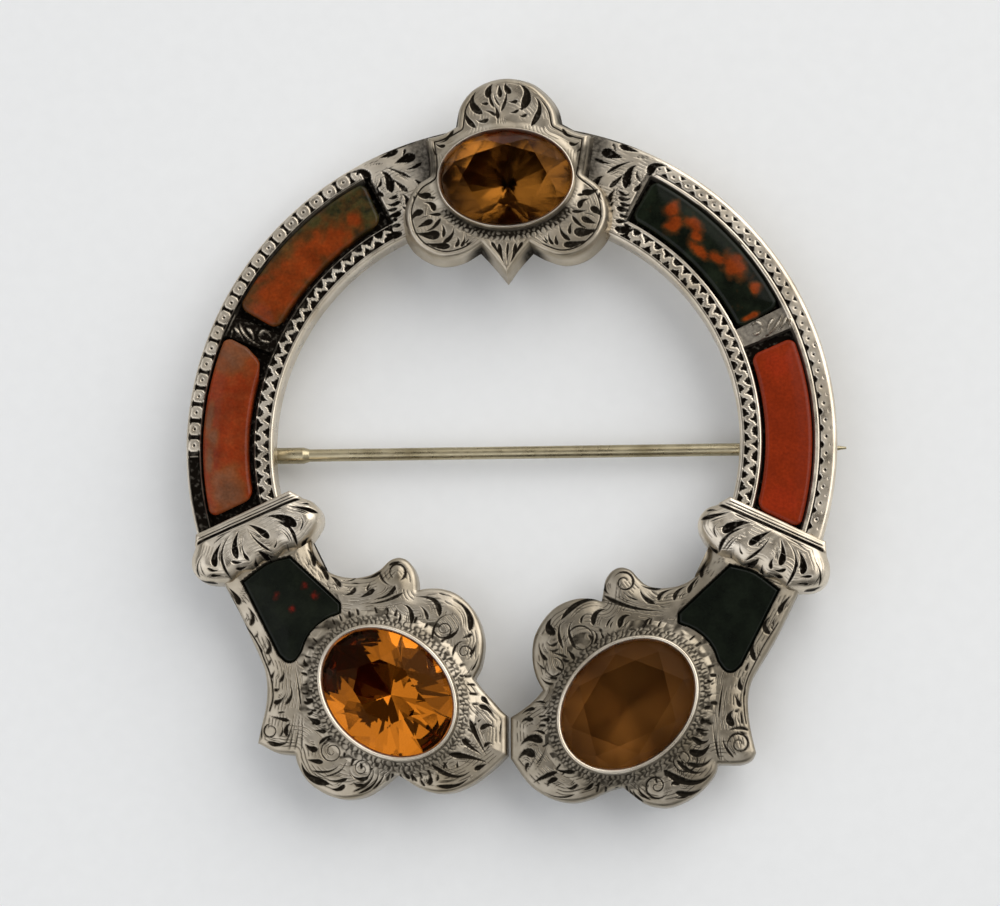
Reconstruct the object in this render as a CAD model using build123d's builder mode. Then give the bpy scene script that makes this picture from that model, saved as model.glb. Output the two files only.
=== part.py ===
from build123d import *
from math import atan2, cos, degrees, radians, sin, sqrt
import os

os.makedirs("parts", exist_ok=True)

# Penannular brooch: an open silver ring inlaid with polished agates, with a trefoil boss at the top, two
# leaf capitals, two lobed terminals that nearly meet, three faceted citrines, and a straight pin behind.
# It lies on its back. Z = 0 is the surface it lies on, +Z its face, +Y its boss, and the pin runs along X.
# Lengths are millimetres and angles degrees. Every sketch is drawn about the ring's centre.

# Ring band
ring_outer_r = 28.2
ring_inner_r = 19.9
ring_back_z = 2.7
ring_thickness = 2.5
rim_bevel = 0.45
bead_border_width = 0.95
zigzag_border_width = 1.35
inner_rim_width = 0.75
border_height = 0.3
band_tuck = 5.0

# Inlaid stones of the ring
stone_width = 3.9
stone_margin = 0.4
stone_thickness = 1.45
stone_proud = 0.35
stone_bevel = 0.35
upper_stone_top_angle = 60.2
upper_stone_foot_angle = 26.3
lower_stone_top_angle = 19.8
stone_foot_gap = 0.25
stone_fit = 0.12

# Capitals, set by the line where they cross the band
collar_angle = 14.75
collar_turn = 24.7
collar_inset = 0.38
collar_length = 8.6
collar_depth = 0.85
collar_rise = 0.75
capital_length = 12.1
capital_depth = 4.8
capital_rise = 1.2
capital_bevel = 0.5

# Terminals, placed by the middle of their citrines
terminal_x = 10.2
terminal_drop = 21.75
terminal_width = 21.7
terminal_height = 21.0
terminal_gap = 0.3
right_drop = 1.15
right_slimness = 0.95
slope_width = 1.2
slope_rise = 0.7

# Citrines of the terminals and their bezels
citrine_length = 12.4
citrine_width = 9.7
citrine_turn = 41.0
bezel_wall = 0.35
bezel_height = 1.1
girdle_below_rim = 0.7
gem_fit = 0.05
gem_ledge = 0.45
seat_depth = 0.6
seat_bury = 0.4

# Shape of a cut citrine, from table to culet
crown_height = 1.25
pavilion_depth = 3.2
girdle_thickness = 0.25
table_share = 0.58
crown_break_share = 0.83
crown_break_height_share = 0.6
pavilion_break_share = 0.69
pavilion_break_depth_share = 0.5
culet_share = 0.12
gem_facets = 16

# Cups that close the backs of the settings
cup_wall = 0.55
cup_floor = 0.5
cup_taper = 0.8

# Boss
boss_y = 22.65
boss_face_z = 7.0
boss_thickness = 2.2
boss_flare = 0.55
top_lobe_r = 3.95
top_lobe_out = 5.2
side_lobe_r = 3.35
side_lobe_out = 6.4
side_lobe_angle = 32.0
point_reach = 8.2
point_width = 6.8
boss_citrine_length = 11.5
boss_citrine_width = 8.5
boss_bezel_height = 1.2

# Pin, hinge and catch
pin_z = 1.4
pin_y = -0.4
wire_r = 0.55
root_r = 0.72
root_length = 6.2
pin_length = 53.1
pin_point = 3.2
pin_point_r = 0.1
knuckle_r = 1.1
knuckle_width = 1.7
rivet_r = 0.4
rivet_fit = 0.04
rivet_seat_fit = 0.02
lug_wall = 0.75
lug_gap = 0.08
lug_r = 1.25
catch_x = 24.3
catch_width = 2.4
catch_wall = 0.55
catch_stem_width = 1.1
catch_fit = 0.25
catch_mouth_fit = 0.07

LEFT = -1
RIGHT = 1

ring_mid_r = (ring_outer_r + ring_inner_r) / 2
ring_face_z = ring_back_z + ring_thickness
ledge_z = ring_face_z - border_height
stone_top_z = ledge_z + stone_proud
cell_floor_z = stone_top_z - stone_thickness
stone_outer_r = ring_outer_r - rim_bevel - bead_border_width - stone_margin
stone_inner_r = stone_outer_r - stone_width
hinge_x = -ring_mid_r
pin_tip_x = hinge_x + pin_length

# The terminal's outline as shares of its width (outward) and height (towards the boss) about the citrine.
# An "arc" row is a point that the curve between its two neighbours passes through.
TERMINAL_EDGE = [
    # outward, upward, kind
    (0.497, 0.087, "corner"),
    (0.493, -0.049, "arc"),
    (0.524, -0.197, "corner"),
    (0.445, -0.242, "arc"),
    (0.358, -0.262, "corner"),
    (0.175, -0.435, "arc"),
    (-0.035, -0.328, "corner"),
    (-0.250, -0.406, "arc"),
    (-0.441, -0.267, "corner"),
]
LEAF_TOP = (-0.082, -0.262)
TERMINAL_SHOULDER = [
    (-0.341, 0.058, "corner"),
    (-0.322, 0.329, "arc"),
    (-0.123, 0.411, "corner"),
    (-0.103, 0.464, "corner"),
    (-0.043, 0.567, "arc"),
    (0.024, 0.530, "corner"),
]
NECK_OUTER_BEND = (0.600, 0.262)
NECK_INNER_BEND = (0.211, 0.480)

# The neck stone's outline, in the same shares.
NECK_STONE_EDGE = [
    (0.592, 0.464, "corner"),
    (0.495, 0.538, "arc"),
    (0.401, 0.567, "corner"),
    (0.197, 0.372, "corner"),
    (0.197, 0.333, "corner"),
    (0.306, 0.267, "arc"),
    (0.350, 0.177, "corner"),
    (0.378, 0.136, "corner"),
    (0.409, 0.132, "corner"),
    (0.441, 0.160, "corner"),
]

# The capital's outline as shares of half its length (outward along the collar) and of its depth.
CAPITAL_LOWER_EDGE = [
    (0.72, 0.98, "corner"),
    (0.56, 1.10, "arc"),
    (0.40, 1.03, "corner"),
    (0.24, 1.08, "arc"),
    (0.08, 0.98, "corner"),
    (-0.12, 1.06, "arc"),
    (-0.32, 0.98, "corner"),
    (-0.52, 1.06, "arc"),
    (-0.72, 0.92, "corner"),
]
CAPITAL_BULGE = 0.56

# How deep the neck starts under the capital, as a share of its depth
NECK_TUCK = 0.8

# Which way the boss's three points face
STAR_ANGLES = (30, 150, 270)

lowest_share = min(upward for outward, upward, kind in TERMINAL_EDGE)
reach_up = boss_y + top_lobe_out + top_lobe_r + boss_flare
reach_down = terminal_drop + right_drop - lowest_share * terminal_height
ring_x = (ring_outer_r - pin_tip_x) / 2
ring_y = (reach_down - reach_up) / 2


def level(z):
    """The drawing plane at height z, about the ring's centre."""
    return Plane(origin=(ring_x, ring_y, z))


def in_arm(side, x, y):
    """A point of one arm: x runs outward from the middle line, and the right arm hangs lower."""
    drop = right_drop if side == RIGHT else 0
    return (side * x, y - drop)


def in_terminal(side, outward, upward):
    """A point given as shares of the terminal's size about its citrine."""
    return in_arm(side, terminal_x + outward * terminal_width, upward * terminal_height - terminal_drop)


def in_collar(side, along, down):
    """A point given along the collar line (outward) and down from it, towards the terminal."""
    x = ring_mid_r * cos(radians(collar_angle))
    y = -ring_mid_r * sin(radians(collar_angle))
    along -= collar_inset
    x += along * cos(radians(collar_turn)) - down * sin(radians(collar_turn))
    y -= along * sin(radians(collar_turn)) + down * cos(radians(collar_turn))
    return in_arm(side, x, y)


def on_ring(side, radius, angle):
    """A point of the ring, by its angle above the middle on that side."""
    return (side * radius * cos(radians(angle)), radius * sin(radians(angle)))


def collar_meets(side, radius, above):
    """Where a circle about the ring's centre meets the line at a distance above the collar."""
    start = in_collar(side, 0, -above)
    end = in_collar(side, 1, -above)
    step = (end[0] - start[0], end[1] - start[1])
    along = -(start[0] * step[0] + start[1] * step[1])
    rest = start[0] ** 2 + start[1] ** 2 - radius**2
    reach = along + sqrt(along**2 - rest)
    return (start[0] + reach * step[0], start[1] + reach * step[1])


def edge_chain(points):
    """Draws a closed outline from (point, kind) rows, as lines and three-point arcs."""
    count = len(points)
    for i, (point, kind) in enumerate(points):
        following, next_kind = points[(i + 1) % count]
        if kind == "arc":
            ThreePointArc(points[i - 1][0], point, following)
        elif next_kind == "corner":
            Line(point, following)


def outline(points):
    """A face from (point, kind) rows, in the active sketch."""
    with BuildLine() as edge:
        edge_chain(points)
    make_face(edge.edges())


def terminal_rows(side, table):
    """Rows of a terminal's table, placed."""
    return [(in_terminal(side, outward, upward), kind) for outward, upward, kind in table]


def slimmed(side, table):
    """A table's rows with their outward shares reduced on the right, where the terminal is slimmer."""
    slimness = right_slimness if side == RIGHT else 1
    return [(outward * slimness if outward > 0 else outward, upward, kind) for outward, upward, kind in table]


def arm_outline(side):
    """Neck and terminal in one: down the neck's outer side, round the lobes, and up its inner side."""
    contact_x = terminal_gap / 2
    leaf_top, leaf_bottom = [share * terminal_height - terminal_drop for share in LEAF_TOP]
    rows = [(in_collar(side, collar_length / 2, NECK_TUCK * capital_depth), "corner")]
    rows += terminal_rows(side, slimmed(side, [(*NECK_OUTER_BEND, "arc"), *TERMINAL_EDGE]))
    rows += [(in_arm(side, contact_x, leaf_bottom), "corner")]
    rows += [(in_arm(side, contact_x, leaf_top), "corner")]
    rows += terminal_rows(side, TERMINAL_SHOULDER)
    rows += [(in_terminal(side, *NECK_INNER_BEND), "arc")]
    rows += [(in_collar(side, -collar_length / 2, NECK_TUCK * capital_depth), "corner")]
    outline(rows)


def capital_outline(side):
    """The capital seen from the front: straight collar, round ends, and leaf tips below."""
    half = capital_length / 2
    rows = [(in_collar(side, collar_length / 2, 0), "corner")]
    rows += [(in_collar(side, half, CAPITAL_BULGE * capital_depth), "arc")]
    rows += [(in_collar(side, u * half, v * capital_depth), kind) for u, v, kind in CAPITAL_LOWER_EDGE]
    rows += [(in_collar(side, -half, CAPITAL_BULGE * capital_depth), "arc")]
    rows += [(in_collar(side, -collar_length / 2, 0), "corner")]
    outline(rows)


def ring_stone_outline(side, top_angle, foot_angle=None):
    """A curved slab of the ring. With no foot angle it ends along the collar."""
    outer_top = on_ring(side, stone_outer_r, top_angle)
    inner_top = on_ring(side, stone_inner_r, top_angle)
    if foot_angle is None:
        outer_foot = collar_meets(side, stone_outer_r, stone_foot_gap)
        inner_foot = collar_meets(side, stone_inner_r, stone_foot_gap)
        middle_angle = (top_angle - collar_angle) / 2
    else:
        outer_foot = on_ring(side, stone_outer_r, foot_angle)
        inner_foot = on_ring(side, stone_inner_r, foot_angle)
        middle_angle = (top_angle + foot_angle) / 2
    with BuildLine() as edge:
        ThreePointArc(outer_top, on_ring(side, stone_outer_r, middle_angle), outer_foot)
        Line(outer_foot, inner_foot)
        ThreePointArc(inner_foot, on_ring(side, stone_inner_r, middle_angle), inner_top)
        Line(inner_top, outer_top)
    make_face(edge.edges())


def neck_stone_outline(side):
    """The tapered slab of the neck, hollowed where the bezel comes near."""
    outline(terminal_rows(side, NECK_STONE_EDGE))


def oval(length, width, centre, turn, grow=0.0):
    """A filled oval in the active sketch, its size grown by grow all round."""
    with Locations(Location((centre[0], centre[1], 0), (0, 0, turn))):
        Ellipse(length / 2 + grow, width / 2 + grow)


def polished_slab(shape, *where):
    """A flat stone with bevelled top edges, its foot on the cell's floor."""
    with BuildSketch(level(cell_floor_z)) as slab:
        shape(*where)
    extrude(slab.sketch, amount=stone_thickness)
    chamfer(faces().sort_by(Axis.Z)[-1].edges(), length=stone_bevel)


def cell(shape, *where):
    """The pocket for a slab, a little larger than it and open at the top."""
    with BuildSketch(level(cell_floor_z)) as pocket:
        shape(*where)
        offset(amount=stone_fit, kind=Kind.INTERSECTION)
    extrude(pocket.sketch, amount=capital_rise + stone_thickness + stone_proud, mode=Mode.SUBTRACT)


def facet_ring(length, width, share, turn, centre):
    """One girdle line of a cut stone: a many-sided oval at a share of its full size."""
    points = []
    for i in range(gem_facets):
        angle = 360 * (i + 0.5) / gem_facets
        x = share * length / 2 * cos(radians(angle))
        y = share * width / 2 * sin(radians(angle))
        across = x * cos(radians(turn)) - y * sin(radians(turn))
        up = x * sin(radians(turn)) + y * cos(radians(turn))
        points.append((centre[0] + across, centre[1] + up))
    with BuildLine() as edge:
        Polyline(points, close=True)
    make_face(edge.edges())


def cut_stone(length, width, centre, turn, girdle_z):
    """A faceted oval: table, crown, thin girdle and pavilion down to a small culet."""
    sections = [
        (girdle_z - pavilion_depth, culet_share),
        (girdle_z - pavilion_depth * pavilion_break_depth_share, pavilion_break_share),
        (girdle_z, 1.0),
        (girdle_z + girdle_thickness, 1.0),
        (girdle_z + girdle_thickness + crown_height * crown_break_height_share, crown_break_share),
        (girdle_z + girdle_thickness + crown_height, table_share),
    ]
    outlines = []
    for z, share in sections:
        with BuildSketch(level(z)) as facets:
            facet_ring(length, width, share, turn, centre)
        outlines.append(facets.sketch)
    loft(outlines, ruled=True)


def cone_between(length, width, centre, turn, low, high, mode=Mode.ADD):
    """An oval cone between two (height, size share, grow) ends."""
    ends = []
    for z, share, grow in (low, high):
        with BuildSketch(level(z)) as end:
            oval(length * share, width * share, centre, turn, grow)
        ends.append(end.sketch)
    loft(ends, mode=mode)


def setting(length, width, centre, turn, plate_z, rim_z):
    """A bezel above its plate and a closed cup below it, both round the same cut stone."""
    with BuildSketch(level(plate_z - seat_bury)) as bezel:
        oval(length, width, centre, turn, gem_fit + bezel_wall)
    extrude(bezel.sketch, amount=rim_z - plate_z + seat_bury)
    cone_between(length, width, centre, turn, (0, cup_taper, 0), (plate_z - seat_bury, 1, 0))


def hollow_setting(length, width, centre, turn, girdle_z, rim_z):
    """The stone's seat inside a setting, and the hollow under it down to the cup's floor."""
    seat_z = girdle_z - seat_depth
    with BuildSketch(level(seat_z)) as seat:
        oval(length, width, centre, turn, gem_fit)
    extrude(seat.sketch, amount=rim_z - seat_z + gem_fit, mode=Mode.SUBTRACT)
    floor = (cup_floor, cup_taper, -cup_wall)
    cone_between(length, width, centre, turn, floor, (seat_z, 1, -gem_ledge), Mode.SUBTRACT)


def ring_profile():
    """Half of the band's section: radius across, height up, with its two raised borders."""
    bead_inner_r = ring_outer_r - rim_bevel - bead_border_width
    zigzag_inner_r = ring_inner_r + inner_rim_width
    zigzag_outer_r = zigzag_inner_r + zigzag_border_width
    with BuildLine() as edge:
        Polyline(
            (ring_inner_r, ring_back_z),
            (ring_outer_r, ring_back_z),
            (ring_outer_r, ring_face_z - rim_bevel),
            (ring_outer_r - rim_bevel, ring_face_z),
            (bead_inner_r, ring_face_z),
            (bead_inner_r, ledge_z),
            (zigzag_outer_r, ledge_z),
            (zigzag_outer_r, ring_face_z),
            (zigzag_inner_r, ring_face_z),
            (ring_inner_r, ring_face_z - border_height),
            close=True,
        )
    make_face(edge.edges())


def band_end_angle(side):
    """How far below the middle the band runs before it is hidden in the capital."""
    x, y = in_collar(side, 0, 0)
    return degrees(atan2(-y, abs(x))) + band_tuck


def lobe(x, y, radius):
    """One round lobe of the boss, its side flaring out towards the back."""
    with Locations((ring_x + x, ring_y + boss_y + y, boss_back_z + boss_thickness / 2)):
        Cone(bottom_radius=radius + boss_flare, top_radius=radius, height=boss_thickness)


def star_point(angle):
    """One point of the boss's star, between two lobes, flaring as the lobes do."""
    ends = []
    for z, spread in ((boss_back_z, boss_flare), (boss_face_z, 0)):
        half_width = point_width / 2 + spread
        with BuildSketch(level(z) * Location((0, boss_y, 0), (0, 0, angle))) as end:
            with BuildLine():
                Polyline((0, -half_width), (point_reach + spread, 0), (0, half_width), close=True)
            make_face()
        ends.append(end.sketch)
    loft(ends, ruled=True)


def upright(y):
    """The drawing plane across the brooch, y above the pin's line, with X to the right and height up."""
    return Plane(origin=(ring_x, ring_y + pin_y + y, pin_z), x_dir=(1, 0, 0), z_dir=(0, -1, 0))


def hinge_lug(side):
    """One of the two lugs that hold the rivet, rounded at its foot and soldered to the band's back."""
    near_y = side * (knuckle_width / 2 + lug_gap)
    with BuildSketch(upright(near_y)) as lug:
        with Locations((hinge_x, 0)):
            Circle(lug_r)
        with Locations((hinge_x, (ring_back_z - pin_z + seat_bury) / 2)):
            Rectangle(2 * lug_r, ring_back_z - pin_z + seat_bury)
        with Locations((hinge_x, 0)):
            Circle(rivet_r + rivet_seat_fit, mode=Mode.SUBTRACT)
    extrude(lug.sketch, amount=-side * lug_wall)


def pin_catch():
    """The catch: a hook round the pin with its mouth down, just wider than the pin."""
    inner_r = wire_r + catch_fit
    outer_r = inner_r + catch_wall
    half_mouth = wire_r + catch_mouth_fit
    crossing = Plane(origin=(ring_x + catch_x, ring_y + pin_y, pin_z), x_dir=(0, 1, 0), z_dir=(1, 0, 0))
    with BuildSketch(crossing) as hook:
        Circle(outer_r)
        with Locations((0, (ring_back_z - pin_z + seat_bury) / 2)):
            Rectangle(catch_stem_width, ring_back_z - pin_z + seat_bury)
        Circle(inner_r, mode=Mode.SUBTRACT)
        with Locations((0, -outer_r)):
            Rectangle(2 * half_mouth, 2 * outer_r, mode=Mode.SUBTRACT)
    extrude(hook.sketch, amount=catch_width / 2, both=True)


terminal_rim_z = ring_face_z + slope_rise + bezel_height
terminal_girdle_z = terminal_rim_z - girdle_below_rim
boss_rim_z = boss_face_z + boss_bezel_height
boss_girdle_z = boss_rim_z - girdle_below_rim
boss_back_z = boss_face_z - boss_thickness
boss_setting = (boss_citrine_length, boss_citrine_width, (0, boss_y), 0)


def terminal_setting(side):
    """The size, place and turn of a terminal's citrine."""
    return (citrine_length, citrine_width, in_terminal(side, 0, 0), side * citrine_turn)


def arm(side):
    """One capital, neck and terminal with its sloping middle and its setting."""
    with BuildSketch(level(ring_back_z)) as plate:
        arm_outline(side)
    extrude(plate.sketch, amount=ring_thickness)
    with BuildSketch(level(ring_back_z)) as collar:
        capital_outline(side)
    extrude(collar.sketch, amount=ring_thickness + collar_rise)
    with BuildSketch(level(ring_face_z)) as leaves:
        capital_outline(side)
        offset(amount=-capital_bevel)
        with BuildLine() as strip:
            corners = [(1, -1), (1, 1), (-1, 1), (-1, -1)]
            Polyline([in_collar(side, u * capital_length, v * collar_depth) for u, v in corners], close=True)
        make_face(strip.edges(), mode=Mode.SUBTRACT)
    extrude(leaves.sketch, amount=capital_rise)
    length, width, centre, turn = terminal_setting(side)
    rim = gem_fit + bezel_wall
    slope_foot = (ring_face_z - seat_bury, 1, rim + slope_width)
    cone_between(length, width, centre, turn, slope_foot, (ring_face_z + slope_rise, 1, rim))
    setting(length, width, centre, turn, ring_face_z, terminal_rim_z)


with BuildPart() as silver_frame:
    start = radians(-band_end_angle(RIGHT))
    band_sweep = 180 + band_end_angle(RIGHT) + band_end_angle(LEFT)
    band_plane = Plane(
        origin=(ring_x, ring_y, 0),
        x_dir=(cos(start), sin(start), 0),
        z_dir=(sin(start), -cos(start), 0),
    )
    with BuildSketch(band_plane):
        ring_profile()
    revolve(axis=Axis((ring_x, ring_y, 0), (0, 0, 1)), revolution_arc=band_sweep)
    for side in (LEFT, RIGHT):
        arm(side)
        hinge_lug(side)
    lobe(0, top_lobe_out, top_lobe_r)
    for side in (LEFT, RIGHT):
        x = side * side_lobe_out * cos(radians(side_lobe_angle))
        y = -side_lobe_out * sin(radians(side_lobe_angle))
        lobe(x, y, side_lobe_r)
    for angle in STAR_ANGLES:
        star_point(angle)
    setting(*boss_setting, boss_face_z, boss_rim_z)
    pin_catch()
    for side in (LEFT, RIGHT):
        cell(ring_stone_outline, side, upper_stone_top_angle, upper_stone_foot_angle)
        cell(ring_stone_outline, side, lower_stone_top_angle)
        cell(neck_stone_outline, side)
        hollow_setting(*terminal_setting(side), terminal_girdle_z, terminal_rim_z)
    hollow_setting(*boss_setting, boss_girdle_z, boss_rim_z)
silver_frame.part.label = "silver_frame"
export_step(silver_frame.part, "parts/silver_frame.step")

for side, side_name in ((LEFT, "left"), (RIGHT, "right")):
    with BuildPart() as upper_stone:
        polished_slab(ring_stone_outline, side, upper_stone_top_angle, upper_stone_foot_angle)
    upper_stone.part.label = f"upper_{side_name}_stone"
    export_step(upper_stone.part, f"parts/upper_{side_name}_stone.step")

    with BuildPart() as lower_stone:
        polished_slab(ring_stone_outline, side, lower_stone_top_angle)
    lower_stone.part.label = f"lower_{side_name}_stone"
    export_step(lower_stone.part, f"parts/lower_{side_name}_stone.step")

    with BuildPart() as neck_stone:
        polished_slab(neck_stone_outline, side)
    neck_stone.part.label = f"{side_name}_neck_stone"
    export_step(neck_stone.part, f"parts/{side_name}_neck_stone.step")

    with BuildPart() as citrine:
        cut_stone(*terminal_setting(side), terminal_girdle_z)
    citrine.part.label = f"{side_name}_citrine"
    export_step(citrine.part, f"parts/{side_name}_citrine.step")

with BuildPart() as boss_citrine:
    cut_stone(*boss_setting, boss_girdle_z)
boss_citrine.part.label = "boss_citrine"
export_step(boss_citrine.part, "parts/boss_citrine.step")

with BuildPart() as pin:
    with BuildSketch(upright(0)):
        with BuildLine():
            Polyline(
                (hinge_x, 0),
                (hinge_x, root_r),
                (hinge_x + root_length - wire_r, root_r),
                (hinge_x + root_length, wire_r),
                (pin_tip_x - pin_point, wire_r),
                (pin_tip_x, pin_point_r),
                (pin_tip_x, 0),
                close=True,
            )
        make_face()
    revolve(axis=Axis((ring_x, ring_y + pin_y, pin_z), (1, 0, 0)))
    with BuildSketch(upright(0)):
        with Locations((hinge_x, 0)):
            Circle(knuckle_r)
    extrude(amount=knuckle_width / 2, both=True)
    with BuildSketch(upright(0)):
        with Locations((hinge_x, 0)):
            Circle(rivet_r + rivet_fit)
    extrude(amount=knuckle_width, both=True, mode=Mode.SUBTRACT)
pin.part.label = "pin"
export_step(pin.part, "parts/pin.step")

with BuildPart() as hinge_rivet:
    with BuildSketch(upright(0)):
        with Locations((hinge_x, 0)):
            Circle(rivet_r)
    extrude(amount=knuckle_width / 2 + lug_gap + lug_wall, both=True)
hinge_rivet.part.label = "hinge_rivet"
export_step(hinge_rivet.part, "parts/hinge_rivet.step")
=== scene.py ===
# %% [markdown]
# # A penannular brooch
# The brooch is an open silver ring of the Scottish "pebble" kind. Agates are let into the ring, a trefoil boss
# crowns it, two leaf capitals hold the ring's ends, and below them hang two lobed terminals, each with a tapered
# bloodstone and an oval citrine. A straight pin crosses behind. Nearly all that makes it rich is relief: leaves
# and scrolls cut with a graver, whose cuts hold black oxide while the tops shine.
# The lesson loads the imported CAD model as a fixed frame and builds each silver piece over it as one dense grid
# of points, so that every cut is real relief that catches the light from any side.

import bmesh
import bpy
import numpy as np
from mathutils import Matrix, Vector


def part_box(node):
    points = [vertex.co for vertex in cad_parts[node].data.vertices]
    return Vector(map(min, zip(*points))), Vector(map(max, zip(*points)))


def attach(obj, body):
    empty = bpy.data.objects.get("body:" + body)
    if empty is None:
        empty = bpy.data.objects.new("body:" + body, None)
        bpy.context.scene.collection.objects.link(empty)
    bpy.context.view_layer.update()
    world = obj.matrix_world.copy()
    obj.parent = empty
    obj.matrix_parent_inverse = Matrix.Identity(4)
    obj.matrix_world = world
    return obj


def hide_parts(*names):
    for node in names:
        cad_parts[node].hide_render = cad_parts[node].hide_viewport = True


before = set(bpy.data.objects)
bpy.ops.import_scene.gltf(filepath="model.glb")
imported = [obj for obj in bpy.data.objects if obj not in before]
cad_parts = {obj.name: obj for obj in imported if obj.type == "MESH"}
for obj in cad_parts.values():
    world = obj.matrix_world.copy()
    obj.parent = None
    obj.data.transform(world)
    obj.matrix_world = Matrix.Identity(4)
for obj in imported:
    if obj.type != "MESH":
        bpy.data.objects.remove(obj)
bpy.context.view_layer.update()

print("CAD nodes:", ", ".join(sorted(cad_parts)))

# %% [markdown]
# All shapes are worked out in millimetres about the ring's centre, because that is how a jeweller would mark
# them out with dividers. The frame is in metres with its own origin, so one function moves points into it.
# The ring's centre is found from the CAD frame's box, whose left side is the ring's edge and whose far side is
# the top lobe of the boss.

# %% Sizes in millimetres, and the ring's centre
RING_OUTER, RING_INNER, OPENING_R = 28.2, 19.9, 20.2
BACK_Z, FACE_Z, LEDGE_Z = 2.7, 5.2, 4.9
BOSS_Y, BOSS_REACH = 22.65, 32.35
# Length, width and turn in degrees of the oval in the boss, and of the two in the terminals
BOSS_OVAL, ARM_OVAL = (11.5, 8.5, 0), (12.4, 9.7, 41.0)
LEFT, RIGHT = -1, 1
SIDES = ((LEFT, "left"), (RIGHT, "right"))
# The right arm and capital hang this much lower than the left ones
DROP = {LEFT: 0.0, RIGHT: 1.15}
low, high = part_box("silver_frame")
CENTRE = np.array([low.x * 1000 + RING_OUTER, high.y * 1000 - BOSS_REACH, 0.0])
print("ring centre in the frame, mm:", CENTRE.round(3))


def to_frame(points):
    """Millimetres about the ring's centre, as metres in the frame."""
    return (np.asarray(points, float) + CENTRE) / 1000


# %% [markdown]
# Every new piece is a grid of points P[u, v]. Its faces join neighbours in both directions. Where a direction
# wraps, the last row joins the first, and where it doesn't, each open end is closed with one many-sided face.
# So each piece is a closed solid. A signed volume tells whether the faces point outwards, and turns them if not.

# %% From a grid of points to a closed solid
# Edges whose faces turn by more than so many degrees stay sharp
SHARP_ANGLE = 55


def add_solid(name, P, wrap_u=True, wrap_v=True, body="brooch", stands_for="silver_frame", **attributes):
    """A mesh from a grid P[u, v, xyz] in millimetres. Faces join neighbours, and open ends get one face each.
    The volume is the sum over faces of a . (b x c) / 6, and where it is negative every face is turned round."""
    nu, nv = P.shape[:2]
    index = np.arange(nu * nv).reshape(nu, nv)
    ahead = np.roll(index, -1, 0)
    around = [index, ahead, np.roll(ahead, -1, 1), np.roll(index, -1, 1)]
    quads = np.stack([corner[: nu - (not wrap_u), : nv - (not wrap_v)] for corner in around], -1).reshape(-1, 4)
    points = to_frame(P).reshape(-1, 3)
    a, b, c, d = (points[quads[:, n]] - points.mean(0) for n in range(4))
    volume = np.einsum("ij,ij->", a, np.cross(b, c)) + np.einsum("ij,ij->", a, np.cross(c, d))
    ends = []
    if not wrap_u:
        ends = [index[0], index[-1, ::-1]]
    if not wrap_v:
        ends = [index[::-1, 0], index[:, -1]]
    if volume < 0:
        quads = quads[:, ::-1]
        ends = [end[::-1] for end in ends]
    mesh = bpy.data.meshes.new(name)
    corners = np.concatenate([quads.ravel(), *ends]).astype(np.int32)
    sizes = np.array([4] * len(quads) + [len(end) for end in ends])
    mesh.vertices.add(len(points))
    mesh.vertices.foreach_set("co", points.ravel())
    mesh.loops.add(len(corners))
    mesh.loops.foreach_set("vertex_index", corners)
    mesh.polygons.add(len(sizes))
    mesh.polygons.foreach_set("loop_start", (np.cumsum(sizes) - sizes).astype(np.int32))
    mesh.update(calc_edges=True)
    mesh.shade_smooth()
    mesh.set_sharp_from_angle(angle=np.radians(SHARP_ANGLE))
    for title, values in attributes.items():
        mesh.attributes.new(title, "FLOAT", "POINT").data.foreach_set("value", np.ravel(values).astype(np.float32))
    piece = bpy.data.objects.new(name, mesh)
    bpy.context.scene.collection.objects.link(piece)
    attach(piece, body)
    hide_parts(stands_for)
    print(f"{name}: {2 * len(quads)} triangles")
    return piece


# %% [markdown]
# Outlines are drawn as a jeweller's pattern is: smooth runs that meet at corners. Each run is a Catmull-Rom
# curve through a few points read off, and the whole outline is then stepped off in even steps.

# %% Smooth runs and even steps
def smooth(points, fine=14):
    """A Catmull-Rom curve, in so many fine steps between two points: there it is the cubic whose slope at each
    is half the step from the point before to the point after."""
    p = np.asarray(points, float)
    p = np.vstack([2 * p[0] - p[1], p, 2 * p[-1] - p[-2]])
    t = np.linspace(0, 1, fine, endpoint=False)[None, :, None]
    a, b, c, d = (p[n : len(p) - 3 + n, None, :] for n in range(4))
    curve = b + 0.5 * t * (c - a + t * (2 * a - 5 * b + 4 * c - d + t * (3 * (b - c) + d - a)))
    return np.vstack([curve.reshape(-1, p.shape[1]), p[-2]])


def even_steps(path, count, closed=True):
    """Points at equal distances along a path, by its running length."""
    path = np.vstack([path, path[:1]]) if closed else path
    run = np.r_[0, np.cumsum(np.linalg.norm(np.diff(path, axis=0), axis=1))]
    at = np.linspace(0, run[-1], count, endpoint=not closed)
    return np.stack([np.interp(at, run, path[:, n]) for n in range(path.shape[1])], 1)


def outline(runs, count):
    """A closed outline of count even steps. Each run of points is smooth, and starts at the corner where the run
    before it ends."""
    corners = [run[-1] for run in [runs[-1], *runs]]
    return even_steps(np.vstack([smooth([corner, *run])[:-1] for corner, run in zip(corners, runs)]), count)


def ellipse(length, width, centre, turn, angles, grow=0.0):
    """Points of an oval: half its size plus grow, times the cosine and sine of each angle, turned and moved."""
    x = (length / 2 + grow) * np.cos(angles)
    y = (width / 2 + grow) * np.sin(angles)
    c, s = np.cos(np.radians(turn)), np.sin(np.radians(turn))
    return np.stack([centre[0] + x * c - y * s, centre[1] + x * s + y * c], -1)


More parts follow.
